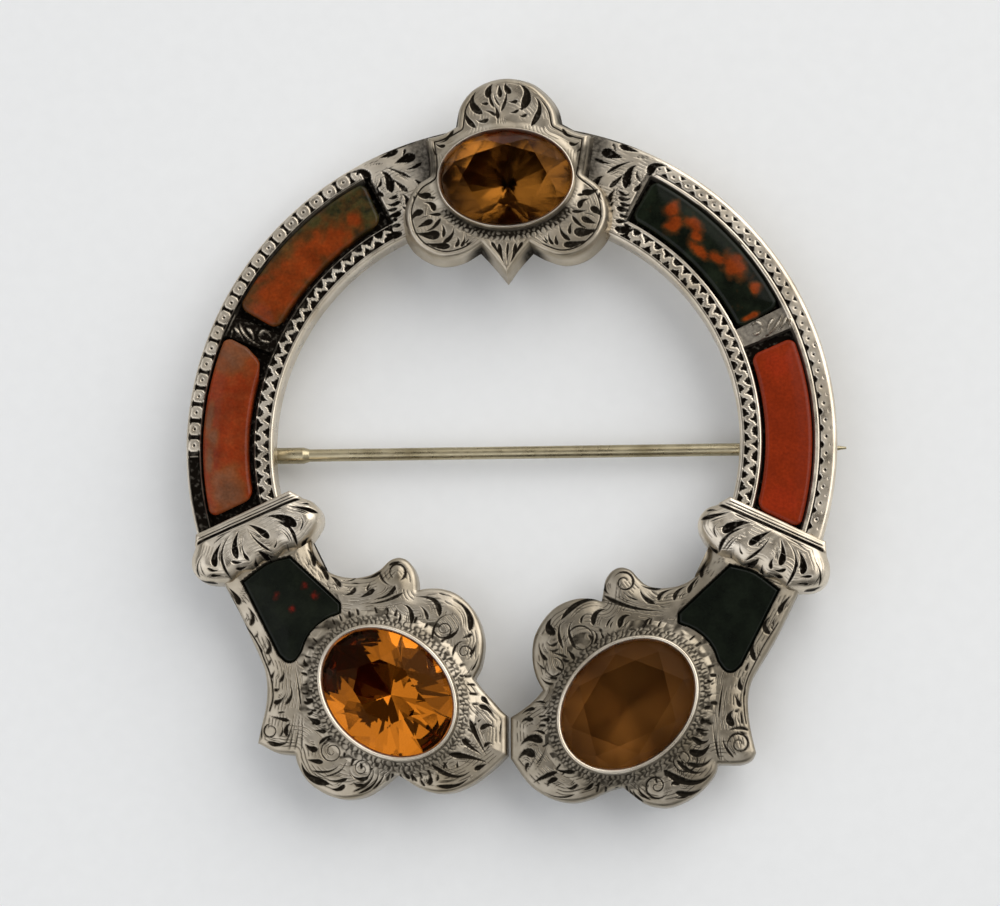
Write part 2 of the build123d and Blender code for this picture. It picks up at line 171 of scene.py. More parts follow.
def distance_to(path, points, reach=3.0):
    """Each point's distance to the nearest piece of a closed path, no more than reach. The path is taken some
    60 pieces at a time, each time with only the points near them."""
    found = np.full(len(points), reach)
    start, step = path, np.roll(path, -1, 0) - path
    for chunk in np.array_split(np.arange(len(path)), max(1, len(path) // 60)):
        box_low, box_high = path[chunk].min(0) - reach, path[chunk].max(0) + reach
        near = np.flatnonzero(((points > box_low) & (points < box_high)).all(1))
        away = points[near, None] - start[chunk]
        along = np.clip((away * step[chunk]).sum(2) / (step[chunk] ** 2).sum(1), 0, 1)
        gap = np.linalg.norm(away - along[..., None] * step[chunk], axis=2).min(1)
        found[near] = np.minimum(found[near], gap)
    return found


def ramp(x, start, end):
    """Nought before start, one after end, and a smooth S between."""
    t = np.clip((x - start) / (end - start), 0, 1)
    return t * t * (3 - 2 * t)


def shoulder(gap, radius):
    """How far a rounded edge of that radius has dropped at each distance from it: a quarter circle."""
    inside = np.clip(1 - gap / radius, 0, 1)
    return radius * (1 - np.sqrt(1 - inside**2))


# %% [markdown]
# A graver is a small steel chisel with a V-shaped point. Pushed deeper it cuts wider, so a cut that starts as a
# hair, swells and stops short is both wider and deeper where it swells. Each cut here is a curve through three
# points with the width at its swell. The depth at any point of the metal is what the tool's sloping sides leave:
# the cut's half-width there, less the distance from its middle line, times the slope.

# %% The graver
# The slope of the tool's sides, the depth that no cut passes, and the depth from which a cut is all black
GRAVER_SLOPE, DEEPEST_CUT, BLACK_BELOW = 0.75, 0.24, 0.045
# Where along a cut it is widest, and where its blunt end would close
SWELL_AT, CUT_END = 0.75, 1.02


def swelling_cut(x0, y0, xm, ym, x1, y1, width):
    """A curved cut through a middle point. It starts as a hair, is widest three quarters along and ends blunt."""
    t = np.linspace(0, 1, 17)
    bend = 2 * np.array([xm, ym]) - np.array([x0 + x1, y0 + y1]) / 2
    path = np.outer((1 - t) ** 2, [x0, y0]) + np.outer(2 * t * (1 - t), bend) + np.outer(t**2, [x1, y1])
    blunt = np.sqrt(1 - np.clip((t - SWELL_AT) / (CUT_END - SWELL_AT), 0, 1) ** 2)
    return path, width / 2 * np.minimum(1, (t / SWELL_AT) ** 0.85) * blunt


def spiral_cut(x, y, inner, outer, turns, start, width):
    """A scroll: the radius grows evenly from inner to outer while the angle makes that many turns."""
    t = np.linspace(0, 1, 40)
    angle = np.radians(start) + 2 * np.pi * turns * t
    radius = inner + (outer - inner) * t
    path = np.stack([x + radius * np.cos(angle), y + radius * np.sin(angle)], 1)
    return path, width / 2 * np.minimum(1, 6 * (1 - t) + 0.15) * (0.55 + 0.45 * t)


def hairline(points, half):
    """A cut of one width along a smooth curve."""
    path = smooth(points)
    return path, np.full(len(path), half)


def engrave(points, cuts):
    """The depth of all cuts at each point: the deepest of half-width less distance, times the graver's slope."""
    depth = np.zeros(len(points))
    for path, half in cuts:
        reach = half.max()
        near = np.flatnonzero(((points > path.min(0) - reach) & (points < path.max(0) + reach)).all(1))
        if not len(near):
            continue
        step = np.diff(path, axis=0)
        away = points[near, None] - path[:-1]
        along = np.clip((away * step).sum(2) / np.maximum((step**2).sum(1), 1e-9), 0, 1)
        gap = np.linalg.norm(away - along[..., None] * step, axis=2)
        width = half[:-1] + along * np.diff(half)
        depth[near] = np.maximum(depth[near], GRAVER_SLOPE * (width - gap).max(1))
    return np.minimum(depth, DEEPEST_CUT)


def oxide(depth):
    """How dark the metal is at each depth: polishing reaches the upper flanks of a cut and leaves its bottom."""
    return ramp(depth, 0.0, BLACK_BELOW)


def hand_cut(rows, seed, wander=0.05):
    """Rows of swelling cuts, each point moved a little, as no two strokes by hand are alike."""
    rows = np.array(rows, float)
    rows[:, :6] += np.random.default_rng(seed).normal(0, wander, (len(rows), 6))
    return [swelling_cut(*row) for row in rows]


def unevenness(x, y, size, seed):
    """A gentle smooth unevenness between -1 and 1: sines of a few random directions, size mm apart, averaged."""
    rng = np.random.default_rng(seed)
    turn = rng.uniform(0, 2 * np.pi, 7)
    wave = 2 * np.pi / (size * rng.uniform(0.6, 1.6, 7))
    phase = rng.uniform(0, 2 * np.pi, 7)
    waves = [np.sin(w * (x * np.cos(t) + y * np.sin(t)) + p) for t, w, p in zip(turn, wave, phase)]
    return sum(waves) / 7


# %% [markdown]
# A relief plate is stretched between two loops with the same number of points: the hole for a stone's setting
# and the piece's outline. Its face is the straight blend of the two. The height of every point comes from a
# relief function, and a wall and a flat back close the plate. A loop that shrinks to a thin sliver stands for
# "no hole", and its two ends are closed with flat faces.

# %% A relief plate between two loops
def outward(loop):
    """Unit steps away from a closed loop: the run of its neighbours turned a right angle, to the outer side."""
    run = np.roll(loop, -1, 0) - np.roll(loop, 1, 0)
    area = (loop[:, 0] * np.roll(loop[:, 1], -1) - loop[:, 1] * np.roll(loop[:, 0], -1)).sum()
    turned = np.stack([run[:, 1], -run[:, 0]], 1) * np.sign(area)
    return turned / np.linalg.norm(turned, axis=1, keepdims=True)


def plate(name, inner, outer, rows, relief, wall, place, hole=True, away=None, painted_wall_shade=0, **more):
    """Face: inner times 1 - v plus outer times v. Height and darkness: relief(points). The wall is rows of
    (distance outwards, height), and the last row's height is the back's. place moves points to the ring's.
    The wall's painted shade is one number, or one for each outline point and wall row."""
    v = np.linspace(0, 1, rows)[None, :, None]
    face = inner[:, None] * (1 - v) + outer[:, None] * v
    height, cut = relief(face.reshape(-1, 2))
    count = len(outer)
    parts = [np.dstack([face, height.reshape(count, rows)])]
    away = outward(outer) if away is None else away
    parts += [np.dstack([(outer + grow * away)[:, None], np.full((count, 1), z)]) for grow, z in wall]
    parts += [np.dstack([inner[:, None], np.full((count, 1), wall[-1][1])])]
    P = np.concatenate(parts, 1)
    P[..., :2] = place(P[..., :2])
    darkness = np.zeros(P.shape[:2])
    darkness[:, :rows] = cut.reshape(count, rows)
    darkness[:, rows:-1] = painted_wall_shade
    return add_solid(name, P, wrap_v=hole, cut=darkness, **more)


def within(path, points):
    """True for points inside a closed path: a level ray from the point crosses it an odd number of times."""
    a, b = path, np.roll(path, -1, 0)
    found = np.zeros(len(points), bool)
    near = np.flatnonzero(((points > path.min(0)) & (points < path.max(0))).all(1))
    x, y = points[near, 0, None], points[near, 1, None]
    spans = (a[:, 1] > y) != (b[:, 1] > y)
    rise = np.where(b[:, 1] == a[:, 1], 1.0, b[:, 1] - a[:, 1])
    crossing = a[:, 0] + (y - a[:, 1]) * (b[:, 0] - a[:, 0]) / rise
    found[near] = (spans & (x < crossing)).sum(1) % 2 == 1
    return found


# %% [markdown]
# ## The arms
# A neck and a terminal are one chased plate. The jeweller scribed the outline, pierced it with a saw and
# engraved it in place. The two arms are near twins, mirrored, but the right one hangs lower and is slimmer, so
# each has its own outline. All its numbers are millimetres outward and up from the middle of its citrine.

# %% Outlines of the two arms
ARM_X, ARM_DROP = 10.2, 21.75
LEFT_ARM = [
    [(13.0, 6.9), (12.0, 4.8), (11.2, 3.1), (10.8, 2.0), (10.6, 0.5), (10.7, -1.0), (11.0, -2.4), (11.35, -4.1)],
    [(10.6, -4.5), (9.6, -4.95), (8.1, -5.1)],
    [(7.9, -5.9), (7.3, -7.0), (6.4, -7.9), (5.0, -8.65), (3.5, -8.9), (2.0, -8.6), (0.8, -7.9), (-0.6, -6.8)],
    [(-1.6, -7.4), (-2.6, -8.0), (-4.0, -8.4), (-5.5, -8.3), (-7.0, -7.7), (-8.2, -6.9), (-9.3, -5.95),
     (-10.05, -5.2)],
    [(-10.05, -1.9)],
    [(-9.5, -1.4), (-8.8, -0.6), (-7.9, 0.4), (-7.2, 1.3)],
    [(-7.8, 2.5), (-8.05, 4.2), (-7.8, 5.8), (-7.0, 7.4), (-5.8, 8.5), (-4.5, 9.0), (-3.2, 9.05), (-2.35, 8.9)],
    [(-2.3, 9.8), (-2.05, 10.7), (-1.5, 11.45), (-0.75, 11.75), (0.1, 11.5), (0.9, 10.75), (2.0, 10.2),
     (3.5, 10.05), (5.0, 10.4), (6.2, 11.2), (6.9, 12.4), (7.2, 14.1)],
    [(15.0, 10.6)],
]
RIGHT_ARM = [
    [(13.0, 6.6), (12.0, 4.8), (11.0, 3.2), (10.4, 2.1), (10.1, 0.8), (10.1, -0.6), (10.3, -2.2), (10.7, -4.0)],
    [(10.3, -4.6), (9.4, -4.95), (7.5, -4.95)],
    [(7.2, -5.8), (6.3, -6.9), (5.0, -7.9), (3.5, -8.5), (2.3, -8.5), (1.1, -8.1), (-0.6, -6.8)],
    [(-1.4, -7.0), (-2.2, -7.3), (-3.3, -7.8), (-4.7, -8.1), (-6.2, -7.9), (-7.7, -7.2), (-8.8, -6.2),
     (-10.05, -4.4)],
    [(-10.05, -0.9)],
    [(-9.4, -0.5), (-8.7, 0.0), (-8.0, 0.6), (-7.3, 1.4)],
    [(-7.9, 2.6), (-8.2, 4.2), (-8.0, 6.0), (-7.1, 7.6), (-6.0, 8.6), (-4.6, 9.15), (-3.2, 9.2), (-2.25, 8.95)],
    [(-2.1, 9.8), (-1.9, 10.8), (-1.35, 11.55), (-0.6, 11.85), (0.25, 11.6), (0.9, 10.9), (1.6, 10.3),
     (2.6, 10.05), (4.0, 10.15), (5.1, 10.55), (6.1, 11.3), (6.9, 12.4), (7.2, 14.1)],
    [(15.0, 10.6)],
]
NECK_STONE = [
    [(10.74, 11.3), (8.7, 11.9)],
    [(4.27, 7.81)],
    [(4.27, 6.99)],
    [(5.6, 6.45), (6.64, 5.6), (7.25, 4.7), (7.6, 3.7)],
    [(8.2, 2.9), (8.88, 2.8), (9.57, 3.36)],
    [(12.85, 9.74)],
]


def in_arm(side):
    """A function that moves (outward, up) points of one arm to the ring's (x, y)."""
    return lambda p: np.stack([side * (ARM_X + p[..., 0]), p[..., 1] - (ARM_DROP + DROP[side])], -1)


def bezel_side(points, length, width, turn, grow):
    """Where points lie about an oval: their angle round it, and their distance outside it."""
    c, s = np.cos(np.radians(turn)), np.sin(np.radians(turn))
    a, b = length / 2 + grow, width / 2 + grow
    x = (points[..., 0] * c + points[..., 1] * s) / a
    y = (-points[..., 0] * s + points[..., 1] * c) / b
    angle = np.arctan2(y, x)
    radius = np.hypot(a * np.cos(angle), b * np.sin(angle))
    return angle, (np.hypot(x, y) - 1) * radius


def matched_loop(outer, length, width, turn, grow):
    """A point of the oval for each outline point: the one in its direction, and where the outline turns back
    on itself the oval's point waits for it, so the lines between the loops never cross."""
    angle = np.unwrap(bezel_side(outer, length, width, turn, grow)[0])
    way = np.sign(angle[-1] - angle[0])
    angle = way * np.maximum.accumulate(way * angle)
    even = angle[0] + way * np.linspace(0, 2 * np.pi, len(angle), endpoint=False)
    return ellipse(length, width, (0, 0), turn, 0.95 * angle + 0.05 * even, grow)


# %% [markdown]
# The engraver's cuts on the arms follow the photograph group by group: crescents along the inner lobe, a sheaf
# of stems from the neck stone, commas along both borders of the neck, scrolls in the lobes and in the ear, and a
# fan of veins in the pointed leaf where the terminals meet. Each row is where a cut starts as a hair, a point on
# its way, where it stops, and its width.

# %% Shade lines
# How far the two hairlines lie from their cut, and their width
SHADE_STEPS, SHADE_WIDTH = (0.24, 0.42), 0.13


def shaded(rows):
    """Beside each broad cut, on its hollow side, the engraver sets two hairlines that follow it. They are the cut
    itself, moved towards the middle of its chord by each step, and shorter at both ends."""
    more = []
    for row in rows:
        x0, y0, xm, ym, x1, y1, width = row
        chord = np.array([(x0 + x1) / 2 - xm, (y0 + y1) / 2 - ym])
        bow, reach = np.hypot(*chord), np.hypot(x1 - x0, y1 - y0)
        if width < 0.3 or reach < 0.9 or bow < 0.08:
            continue
        for step in SHADE_STEPS:
            aside = chord / bow * (step + width * 0.3)
            start = np.array([x0, y0]) * (0.85 - step / 2) + np.array([xm, ym]) * (0.15 + step / 2) + aside
            end = np.array([x1, y1]) * (0.9 - step / 2) + np.array([xm, ym]) * (0.1 + step / 2) + aside
            more.append((*start, xm + aside[0], ym + aside[1], *end, SHADE_WIDTH))
    return list(rows) + more


# %% Cuts of the arms
INNER_LOBE = [
    (-5.4, 8.15, -6.7, 7.0, -6.95, 5.35, 0.6), (-5.4, 8.2, -4.8, 8.45, -4.25, 8.6, 0.2),
    (-6.1, 4.65, -6.6, 4.8, -7.1, 5.05, 0.36), (-2.0, 8.3, -3.8, 8.0, -4.3, 6.65, 0.6),
    (-2.4, 7.6, -3.1, 7.1, -3.2, 6.35, 0.4), (-1.0, 7.65, -1.8, 7.15, -1.9, 5.95, 0.5),
    (-0.6, 7.05, -0.9, 6.7, -0.8, 5.95, 0.3), (0.8, 6.95, 0.2, 6.6, 0.15, 5.85, 0.36),
    (1.6, 6.8, 1.3, 6.4, 1.2, 6.0, 0.26), (2.0, 6.8, 1.7, 6.4, 1.55, 6.0, 0.24),
    (2.5, 6.85, 2.2, 6.5, 2.05, 6.05, 0.24), (3.0, 6.9, 2.75, 6.5, 2.55, 6.1, 0.22),
    (3.5, 6.8, 3.3, 6.5, 3.1, 6.1, 0.2), (-6.0, 6.7, -4.2, 6.3, -3.75, 4.3, 0.28),
    (-5.9, 6.1, -5.7, 5.2, -4.7, 4.65, 0.4), (-7.4, 4.45, -7.25, 3.8, -6.9, 3.3, 0.36),
    (-7.0, 4.35, -5.9, 4.3, -5.4, 3.15, 0.28), (-7.7, 3.6, -7.5, 2.6, -7.0, 1.9, 0.22),
    (-6.0, 2.5, -5.7, 2.3, -5.4, 2.4, 0.22), (-6.9, 1.7, -6.4, 1.4, -5.9, 1.5, 0.26),
    (-3.3, 5.2, -3.5, 4.8, -3.3, 4.3, 0.2), (-6.1, 7.2, -5.2, 7.6, -4.7, 7.9, 0.14),
    (-5.2, 7.4, -4.9, 7.0, -4.9, 6.6, 0.14), (-5.6, 7.2, -5.4, 6.9, -5.4, 6.6, 0.14),
]
UPPER_EDGE = [
    (2.6, 7.7, 0.6, 7.85, -1.1, 8.6, 0.36), (2.6, 7.5, 0.6, 7.5, -1.3, 7.8, 0.13),
    (2.6, 7.35, 1.0, 7.3, -0.5, 7.45, 0.12), (3.8, 7.5, 2.2, 7.15, 0.9, 7.1, 0.12),
    (-1.0, 11.15, -0.6, 11.3, 0.1, 11.1, 0.34), (1.7, 8.05, 0.3, 8.4, -0.4, 9.2, 0.42),
    (-0.4, 9.25, 0.5, 9.6, 0.9, 10.4, 0.34), (2.8, 9.95, 1.7, 10.1, 0.8, 10.5, 0.36),
    (2.7, 8.3, 2.0, 8.45, 1.35, 9.0, 0.52), (1.5, 9.8, 1.85, 9.3, 1.9, 8.9, 0.28),
    (4.4, 9.8, 3.7, 9.8, 3.0, 9.95, 0.2), (4.2, 8.5, 3.4, 8.6, 3.0, 9.1, 0.46),
    (5.3, 10.15, 4.7, 9.9, 4.2, 9.2, 0.46), (6.5, 11.2, 5.8, 10.7, 5.4, 9.9, 0.46),
    (5.9, 10.8, 5.2, 10.45, 4.4, 10.2, 0.18), (7.4, 12.6, 6.9, 12.0, 6.6, 11.1, 0.46),
    (3.4, 9.3, 3.2, 9.5, 2.6, 9.5, 0.2), (6.0, 9.9, 5.4, 9.4, 5.2, 8.9, 0.16),
]
CONTACT_LEAF = [
    (-8.5, -5.55, -7.6, -3.9, -7.0, -2.35, 0.5), (-8.2, -5.35, -7.1, -4.6, -6.3, -3.9, 0.5),
    (-8.8, -6.0, -6.9, -5.4, -5.2, -5.2, 0.6), (-8.4, -5.95, -7.9, -6.25, -7.4, -6.45, 0.5),
    (-9.1, -2.95, -8.5, -2.75, -7.8, -3.1, 0.52), (-9.0, -4.35, -8.5, -4.25, -8.1, -4.55, 0.38),
    (-8.1, -2.15, -7.8, -2.35, -7.6, -2.5, 0.24), (-9.0, -2.2, -8.5, -1.4, -7.7, -1.1, 0.48),
    (-8.7, -1.1, -8.3, -0.7, -8.0, -0.4, 0.5), (-7.1, -6.45, -5.6, -7.1, -3.7, -6.05, 0.48),
    (-7.0, -7.0, -5.8, -7.75, -4.1, -7.8, 0.42), (-5.95, -5.7, -5.8, -6.0, -5.9, -6.3, 0.28),
    (-5.2, -5.7, -4.9, -6.0, -4.7, -6.4, 0.3), (-4.0, -6.7, -4.2, -7.05, -4.1, -7.4, 0.32),
    (-3.3, -6.7, -3.6, -7.2, -3.5, -7.7, 0.5), (-2.7, -6.9, -2.8, -7.4, -3.1, -7.85, 0.3),
    (-1.2, -6.35, -1.4, -6.8, -1.8, -7.15, 0.4), (-2.0, -6.6, -2.1, -7.0, -2.4, -7.4, 0.3),
    (-9.6, -4.4, -9.5, -3.6, -9.6, -2.4, 0.18), (-9.4, -5.6, -8.6, -6.6, -7.6, -7.3, 0.16),
]
BOTTOM_LOBE = [
    (7.1, -1.75, 6.5, -2.25, 5.9, -2.45, 0.6), (6.5, -2.95, 5.9, -3.15, 5.4, -3.15, 0.42),
    (4.3, -3.6, 5.2, -3.7, 5.95, -4.25, 0.36), (7.2, -4.15, 6.7, -4.6, 6.2, -4.7, 0.6),
    (7.1, -5.5, 6.4, -5.7, 5.7, -5.85, 0.5), (7.5, -5.6, 6.9, -6.9, 5.2, -7.55, 0.7),
    (3.9, -5.45, 4.9, -6.5, 6.5, -6.5, 0.28), (3.5, -4.95, 4.0, -6.35, 5.4, -6.95, 0.24),
    (5.6, -7.15, 4.5, -7.4, 3.6, -7.15, 0.38), (5.1, -7.95, 4.4, -8.2, 3.8, -7.75, 0.46),
    (3.3, -6.65, 2.6, -7.2, 1.7, -7.15, 0.42), (3.0, -7.4, 2.8, -7.8, 2.1, -7.7, 0.4),
    (1.5, -5.7, 1.5, -7.2, 3.0, -8.25, 0.28), (1.0, -5.95, 1.15, -7.4, 2.6, -8.4, 0.3),
    (0.3, -6.25, 0.6, -7.25, 1.4, -8.1, 0.28), (-0.3, -6.45, 0.0, -6.95, 0.2, -7.35, 0.32),
    (7.2, -0.2, 6.9, -0.5, 6.4, -0.55, 0.5), (7.1, 0.4, 6.8, 0.25, 6.5, 0.3, 0.3),
    (7.1, 2.1, 6.9, 2.0, 6.6, 2.1, 0.26), (7.3, 3.2, 7.35, 2.8, 7.1, 2.4, 0.4),
    (6.9, -1.2, 6.6, -1.35, 6.2, -1.4, 0.3), (6.0, -2.8, 5.6, -2.75, 5.3, -2.7, 0.2),
    (7.3, -1.15, 7.4, -2.95, 7.5, -4.85, 0.18), (7.6, -1.15, 7.8, -3.05, 8.1, -4.7, 0.18),
    (7.8, -1.25, 8.2, -3.25, 8.6, -4.7, 0.18), (8.1, -1.25, 8.4, -2.85, 8.9, -4.25, 0.2),
    (8.2, 2.75, 7.9, 1.25, 7.6, -1.15, 0.22), (7.9, 2.8, 7.6, 1.3, 7.35, -0.6, 0.12),
]
EAR = [
    (8.3, -2.4, 8.8, -2.8, 8.8, -3.5, 0.5), (8.6, -3.95, 9.4, -4.25, 10.4, -4.05, 0.46),
    (10.4, -1.75, 9.5, -2.05, 8.6, -2.25, 0.4), (9.35, -2.4, 9.15, -3.05, 9.45, -3.6, 0.26),
    (8.8, -1.45, 9.1, -1.5, 9.5, -1.55, 0.26), (10.8, -2.2, 11.0, -3.0, 10.9, -3.7, 0.2),
]
OUTER_EDGE = [
    (14.1, 9.4, 13.4, 8.55, 13.1, 7.9, 0.6), (12.4, 7.65, 11.85, 6.8, 12.1, 6.05, 0.5),
    (11.45, 5.55, 11.45, 5.2, 11.75, 5.0, 0.24), (10.85, 5.15, 10.35, 4.2, 10.6, 3.6, 0.48),
    (11.25, 4.35, 11.2, 4.0, 10.95, 3.7, 0.3), (10.15, 3.15, 10.3, 2.95, 10.45, 2.55, 0.3),
    (9.2, 2.3, 9.1, 1.6, 9.5, 1.1, 0.38), (9.8, 2.15, 10.05, 1.8, 10.15, 1.45, 0.34),
    (9.3, 0.6, 9.6, 0.45, 9.9, 0.45, 0.32), (8.6, 1.1, 8.35, 0.0, 9.0, -0.85, 0.38),
    (8.85, 0.0, 9.4, -0.5, 9.85, -0.65, 0.5), (8.5, 1.9, 8.45, 1.2, 8.5, 0.6, 0.12),
]
OUTER_EDGE += [(13.25, 9.15 - 0.19 * n, 12.9, 9.1 - 0.19 * n, 12.45, 9.1 - 0.19 * n, 0.11) for n in range(7)]
SCROLLS = [
    spiral_cut(-4.65, 5.45, 0.2, 0.9, 1.6, 200, 0.24), spiral_cut(-6.45, 3.5, 0.15, 0.7, 1.4, 120, 0.22),
    spiral_cut(-0.6, 10.45, 0.6, 0.78, 0.85, -50, 0.32), spiral_cut(10.2, -3.1, 0.4, 0.62, 1.1, 60, 0.24),
    spiral_cut(4.85, -4.9, 0.1, 1.2, 2.1, 150, 0.2), spiral_cut(2.3, -6.35, 0.1, 1.05, 2.0, 20, 0.2),
    hairline([(14.0, 8.65), (13.5, 7.85), (12.7, 6.25), (11.9, 5.15), (11.3, 4.15), (10.8, 2.95), (10.35, 1.85),
              (10.1, 0.75), (10.05, -0.35), (10.3, -1.35)], 0.1),
]
RIGHT_INNER = [
    (-1.0, 8.65, -3.6, 9.0, -5.6, 7.4, 0.52), (-6.4, 7.6, -6.75, 6.8, -6.3, 6.1, 0.8),
    (-5.5, 7.4, -5.85, 6.3, -5.5, 4.9, 0.36), (-4.3, 7.5, -5.0, 6.5, -4.45, 4.9, 0.34),
    (-3.5, 6.7, -2.7, 6.1, -2.95, 5.1, 0.3), (-1.6, 8.2, -2.6, 7.9, -2.95, 6.85, 0.56),
    (-3.2, 7.95, -3.8, 7.6, -4.0, 7.0, 0.28), (0.4, 7.65, -0.4, 7.5, -0.7, 6.65, 0.56),
    (-0.8, 7.7, -1.4, 7.4, -1.8, 6.7, 0.24), (-1.0, 7.2, -1.3, 7.0, -1.5, 6.6, 0.18),
    (2.1, 7.4, 1.6, 7.2, 1.3, 6.5, 0.38), (3.2, 7.3, 2.8, 7.1, 2.5, 6.6, 0.24),
    (-2.3, 6.3, -2.2, 6.0, -2.0, 5.6, 0.28), (-1.8, 6.35, -1.6, 6.0, -1.5, 5.8, 0.32),
    (-1.2, 6.3, -1.0, 6.1, -0.9, 5.95, 0.3), (0.1, 6.6, 0.3, 6.5, 0.5, 6.3, 0.22),
    (-7.0, 5.6, -6.6, 5.15, -6.0, 5.4, 0.34), (-7.0, 5.1, -6.5, 4.65, -5.9, 4.85, 0.28),
    (-6.9, 4.6, -6.0, 4.4, -5.2, 4.1, 0.32), (-7.6, 5.4, -7.4, 4.5, -6.9, 4.0, 0.4),
    (-5.3, 4.8, -4.9, 4.4, -4.6, 3.9, 0.42), (-7.9, 4.0, -7.6, 3.5, -7.1, 3.1, 0.22),
    (-5.7, 3.4, -5.4, 2.9, -5.5, 2.4, 0.24), (-7.5, 2.6, -7.0, 2.0, -6.4, 1.9, 0.3),
    (-3.9, 6.1, -4.5, 5.3, -3.7, 4.7, 0.14), (-7.2, 3.6, -6.5, 2.6, -5.8, 2.9, 0.2),
    (2.5, 7.75, 0.7, 7.95, -0.9, 8.3, 0.12),
]
RIGHT_CURL = [
    (3.6, 8.0, 0.4, 8.3, -1.9, 9.4, 0.46), (1.8, 8.1, -0.6, 8.5, -2.4, 8.95, 0.13),
    (-1.4, 9.4, -1.95, 9.8, -1.95, 10.5, 0.34), (0.9, 10.4, 1.8, 10.0, 2.9, 9.95, 0.36),
    (1.0, 10.0, 1.4, 9.2, 2.3, 8.65, 0.48), (4.2, 10.0, 3.0, 9.6, 2.6, 8.9, 0.42),
    (5.2, 10.2, 4.3, 9.7, 3.9, 9.0, 0.44), (6.2, 11.2, 5.5, 10.3, 5.2, 9.6, 0.46),
    (6.9, 12.5, 6.4, 11.6, 6.3, 10.8, 0.44), (4.2, 8.4, 3.3, 8.3, 2.6, 8.4, 0.14),
    (-0.6, 9.9, 0.1, 9.3, 0.9, 8.95, 0.22), (3.2, 9.1, 2.5, 9.4, 2.0, 9.8, 0.16),
]
RIGHT_CONTACT = [
    (-9.2, -1.5, -8.8, -1.1, -8.1, -1.1, 0.46), (-7.7, -1.3, -7.2, -1.2, -6.6, -1.2, 0.4),
    (-8.3, -2.2, -7.7, -2.1, -7.1, -2.4, 0.32), (-9.3, -3.4, -8.4, -2.7, -7.4, -3.0, 0.78),
    (-9.5, -4.6, -8.7, -3.9, -8.1, -4.2, 0.8), (-8.6, -5.6, -8.8, -5.2, -8.5, -4.8, 0.38),
    (-7.3, -2.7, -7.8, -4.1, -8.6, -5.5, 0.14), (-6.9, -2.7, -7.2, -3.9, -7.9, -5.0, 0.2),
    (-6.6, -2.4, -7.1, -4.1, -7.9, -5.4, 0.14), (-8.1, -6.5, -7.4, -6.1, -6.2, -5.6, 0.48),
    (-6.9, -6.9, -6.7, -6.4, -6.0, -6.2, 0.52), (-5.4, -6.7, -4.9, -7.0, -4.4, -6.6, 0.34),
    (-4.0, -7.1, -3.5, -7.0, -3.0, -6.5, 0.38), (-3.0, -6.6, -2.7, -6.7, -2.4, -6.4, 0.32),
    (-6.4, -5.2, -5.5, -5.6, -4.4, -5.5, 0.4), (-9.2, -0.7, -8.6, -0.3, -8.0, -0.2, 0.4),
    (-8.2, 0.2, -7.7, 0.4, -7.0, 0.3, 0.3), (-7.6, -6.9, -6.2, -7.6, -4.6, -7.5, 0.2),
    (-3.9, -6.0, -3.3, -6.2, -2.6, -6.0, 0.3), (-2.0, -6.9, -1.6, -6.7, -1.3, -6.3, 0.26),
    (-7.2, -0.5, -6.7, -0.6, -6.3, -0.5, 0.3),
]
RIGHT_BOTTOM = [
    (7.0, -1.2, 6.4, -1.4, 6.0, -1.1, 0.6), (6.9, -2.1, 6.2, -2.2, 5.6, -2.0, 0.46),
    (6.9, -2.7, 6.2, -3.1, 5.3, -2.7, 0.52), (7.0, -3.0, 6.2, -4.0, 5.2, -3.9, 0.74),
    (7.1, -4.2, 6.2, -5.0, 5.0, -4.8, 0.5), (6.5, -5.4, 5.3, -5.6, 4.1, -4.7, 0.5),
    (7.2, -5.4, 5.4, -6.5, 3.1, -5.5, 0.72), (6.2, -6.9, 5.1, -7.4, 4.0, -7.3, 0.58),
    (3.5, -6.9, 3.7, -6.6, 4.2, -6.7, 0.44), (3.4, -7.7, 4.2, -7.8, 5.0, -7.6, 0.28),
    (1.1, -6.4, 0.9, -7.2, 1.8, -7.9, 0.3), (0.4, -6.9, 0.5, -7.5, 1.1, -8.0, 0.32),
    (0.0, -6.7, 0.1, -7.2, 0.4, -7.5, 0.26), (7.1, 0.0, 6.7, -0.2, 6.2, -0.2, 0.5),
    (7.2, 1.0, 6.9, 0.8, 6.5, 0.9, 0.36), (7.3, 2.3, 7.0, 2.0, 6.7, 2.1, 0.34),
    (4.5, -3.4, 4.2, -4.1, 4.4, -4.6, 0.2), (3.2, -5.3, 2.4, -5.5, 1.7, -5.8, 0.2),
    (7.1, -0.3, 7.2, -2.3, 7.5, -4.6, 0.18), (7.4, -0.3, 7.35, -2.9, 7.6, -4.7, 0.2),
    (7.75, -0.6, 7.65, -2.7, 7.8, -4.9, 0.14), (8.2, 2.5, 7.9, 1.0, 7.6, -1.15, 0.24),
    (8.5, 2.3, 8.2, 0.6, 8.0, -1.0, 0.14), (8.9, -0.4, 8.5, -1.0, 8.8, -1.7, 0.72),
    (8.1, -2.5, 8.9, -2.0, 10.1, -2.15, 0.34), (8.0, -2.5, 8.1, -3.4, 8.8, -4.4, 0.32),
    (7.9, -4.2, 8.1, -4.6, 8.4, -4.8, 0.12), (9.3, -0.4, 9.5, -0.9, 9.5, -1.6, 0.26),
]
